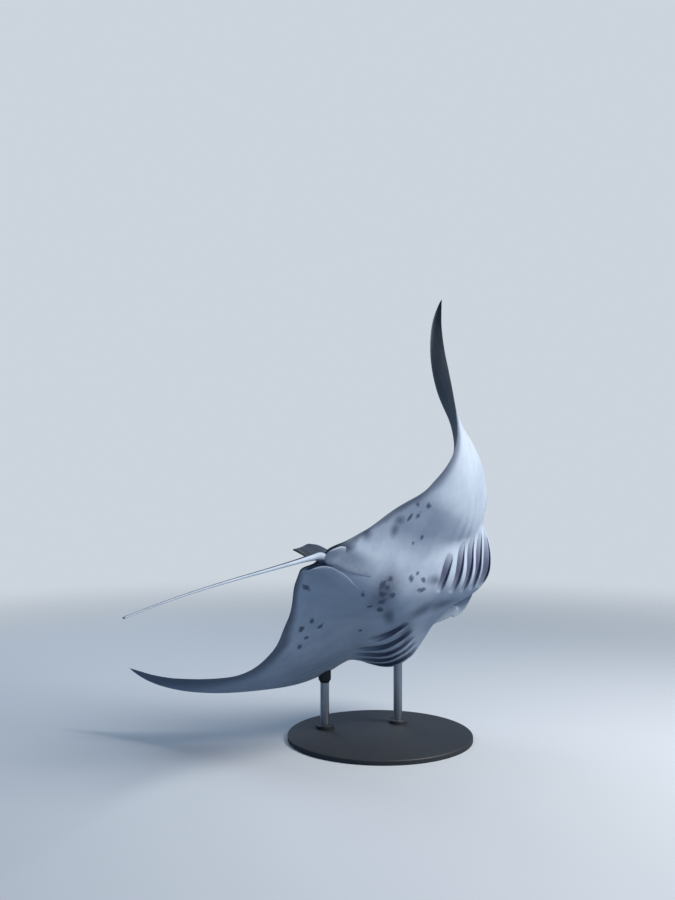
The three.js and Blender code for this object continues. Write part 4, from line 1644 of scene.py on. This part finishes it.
@dataclass
class Studio:
    """Floor, backdrop, soft lights and the camera."""

    floor_radius: float = 9.0
    floor_fade: Pair = (0.95, 0.3)  # shares of the radius where the floor is gone and is whole
    floor_tones: tuple[Colour, Colour] = ((0.2, 0.25, 0.32, 1), (0.62, 0.65, 0.68, 1))
    sky_tones: tuple[Colour, Colour] = ((0.34, 0.55, 0.9, 1), (0.7, 0.77, 0.84, 1))
    sky_strength: Pair = (0.26, 0.6)  # as light, and how much more the camera sees
    middle: Triple = (0.0, 0.1, 1.25)
    lamps: tuple[Lamp, ...] = (
        Lamp("key", (-4.4, -0.6, 5.4), 2.4, 470, (1.0, 0.98, 0.95)),
        Lamp("fill", (4.5, -1.6, 4.5), 4.0, 120, (0.8, 0.9, 1.0)),
        Lamp("front", (-2.0, 6.5, 2.6), 4.0, 16, (0.6, 0.8, 1.0)),
    )
    camera_place: Triple = (-2.943, 5.7797, 1.8054)
    camera_azimuth: float = 209.34
    lens: float = 41.3
    film: float = 36.0

    def floor(self) -> Piece:
        """A pale floor that fades into the backdrop far from the stand.

        Returns:
            The floor.
        """
        bpy.ops.object.select_all(action="DESELECT")
        bpy.ops.mesh.primitive_circle_add(vertices=96, radius=self.floor_radius, fill_type="NGON")
        floor = bpy.context.active_object
        floor.name = "floor"
        w, shader, material = Finish("pale_floor", 0.7).start()
        far = w.get("ShaderNodeVectorMath", "Value", {0: w.room()}, operation="LENGTH")
        near = w.step(far, *(self.floor_radius * share for share in self.floor_fade))
        w.feed(shader, {"Base Color": w.mix(w.seen(), *self.floor_tones), "Alpha": near})
        floor.data.materials.append(material)
        return floor

    def backdrop(self) -> bpy.types.World:
        """A pale backdrop for the camera, and a dimmer, cooler one for the light it gives.

        Returns:
            The world.
        """
        world = bpy.context.scene.world = bpy.data.worlds.new("backdrop")
        world.use_nodes = True
        world.node_tree.nodes.clear()
        w = Wires(world.node_tree)
        strength = w.seen() * self.sky_strength[1] + self.sky_strength[0]
        inputs = {"Color": w.mix(w.seen(), *self.sky_tones), "Strength": strength}
        sky = w.get("ShaderNodeBackground", "Background", inputs)
        w.add("ShaderNodeOutputWorld", {"Surface": sky})
        return world

    def build(self) -> None:
        """Makes the floor, backdrop, lights and camera."""
        self.floor()
        self.backdrop()
        for lamp in self.lamps:
            lamp.build(self.middle)
        bpy.context.scene.view_settings.view_transform = "Standard"
        data = bpy.data.cameras.new("camera")
        data.lens, data.sensor_width = self.lens, self.film
        camera = bpy.data.objects.new("camera", data)
        camera.location = self.camera_place
        camera.rotation_euler = (math.pi / 2, 0, math.radians(self.camera_azimuth))
        bpy.context.scene.collection.objects.link(camera)
        bpy.context.scene.camera = camera


# ---------------------------------------------------------------- the whole part


def report(piece: Piece) -> None:
    """Logs a piece's name and how many faces it has."""
    LOG.info("%s: %d faces", piece.name, len(piece.data.polygons))


def main() -> None:
    """Builds the animal, its stand and the studio, and logs how many faces each piece has."""
    logging.basicConfig(level=logging.INFO, format="%(message)s")
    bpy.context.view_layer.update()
    hide = Hide()
    skin = hide.build()
    hide.dress(skin)
    report(skin)
    gloss = EyeFinish().make()
    for side in Side:
        eye = Eye(side)
        ball = eye.build(hide.pose)
        eye.dress(ball, gloss)
        report(ball)
    stand = Stand()
    pieces = stand.build(skin)
    stand.dress(pieces)
    for piece in pieces:
        report(piece)
    Studio().build()


if __name__ == "__main__":
    main()
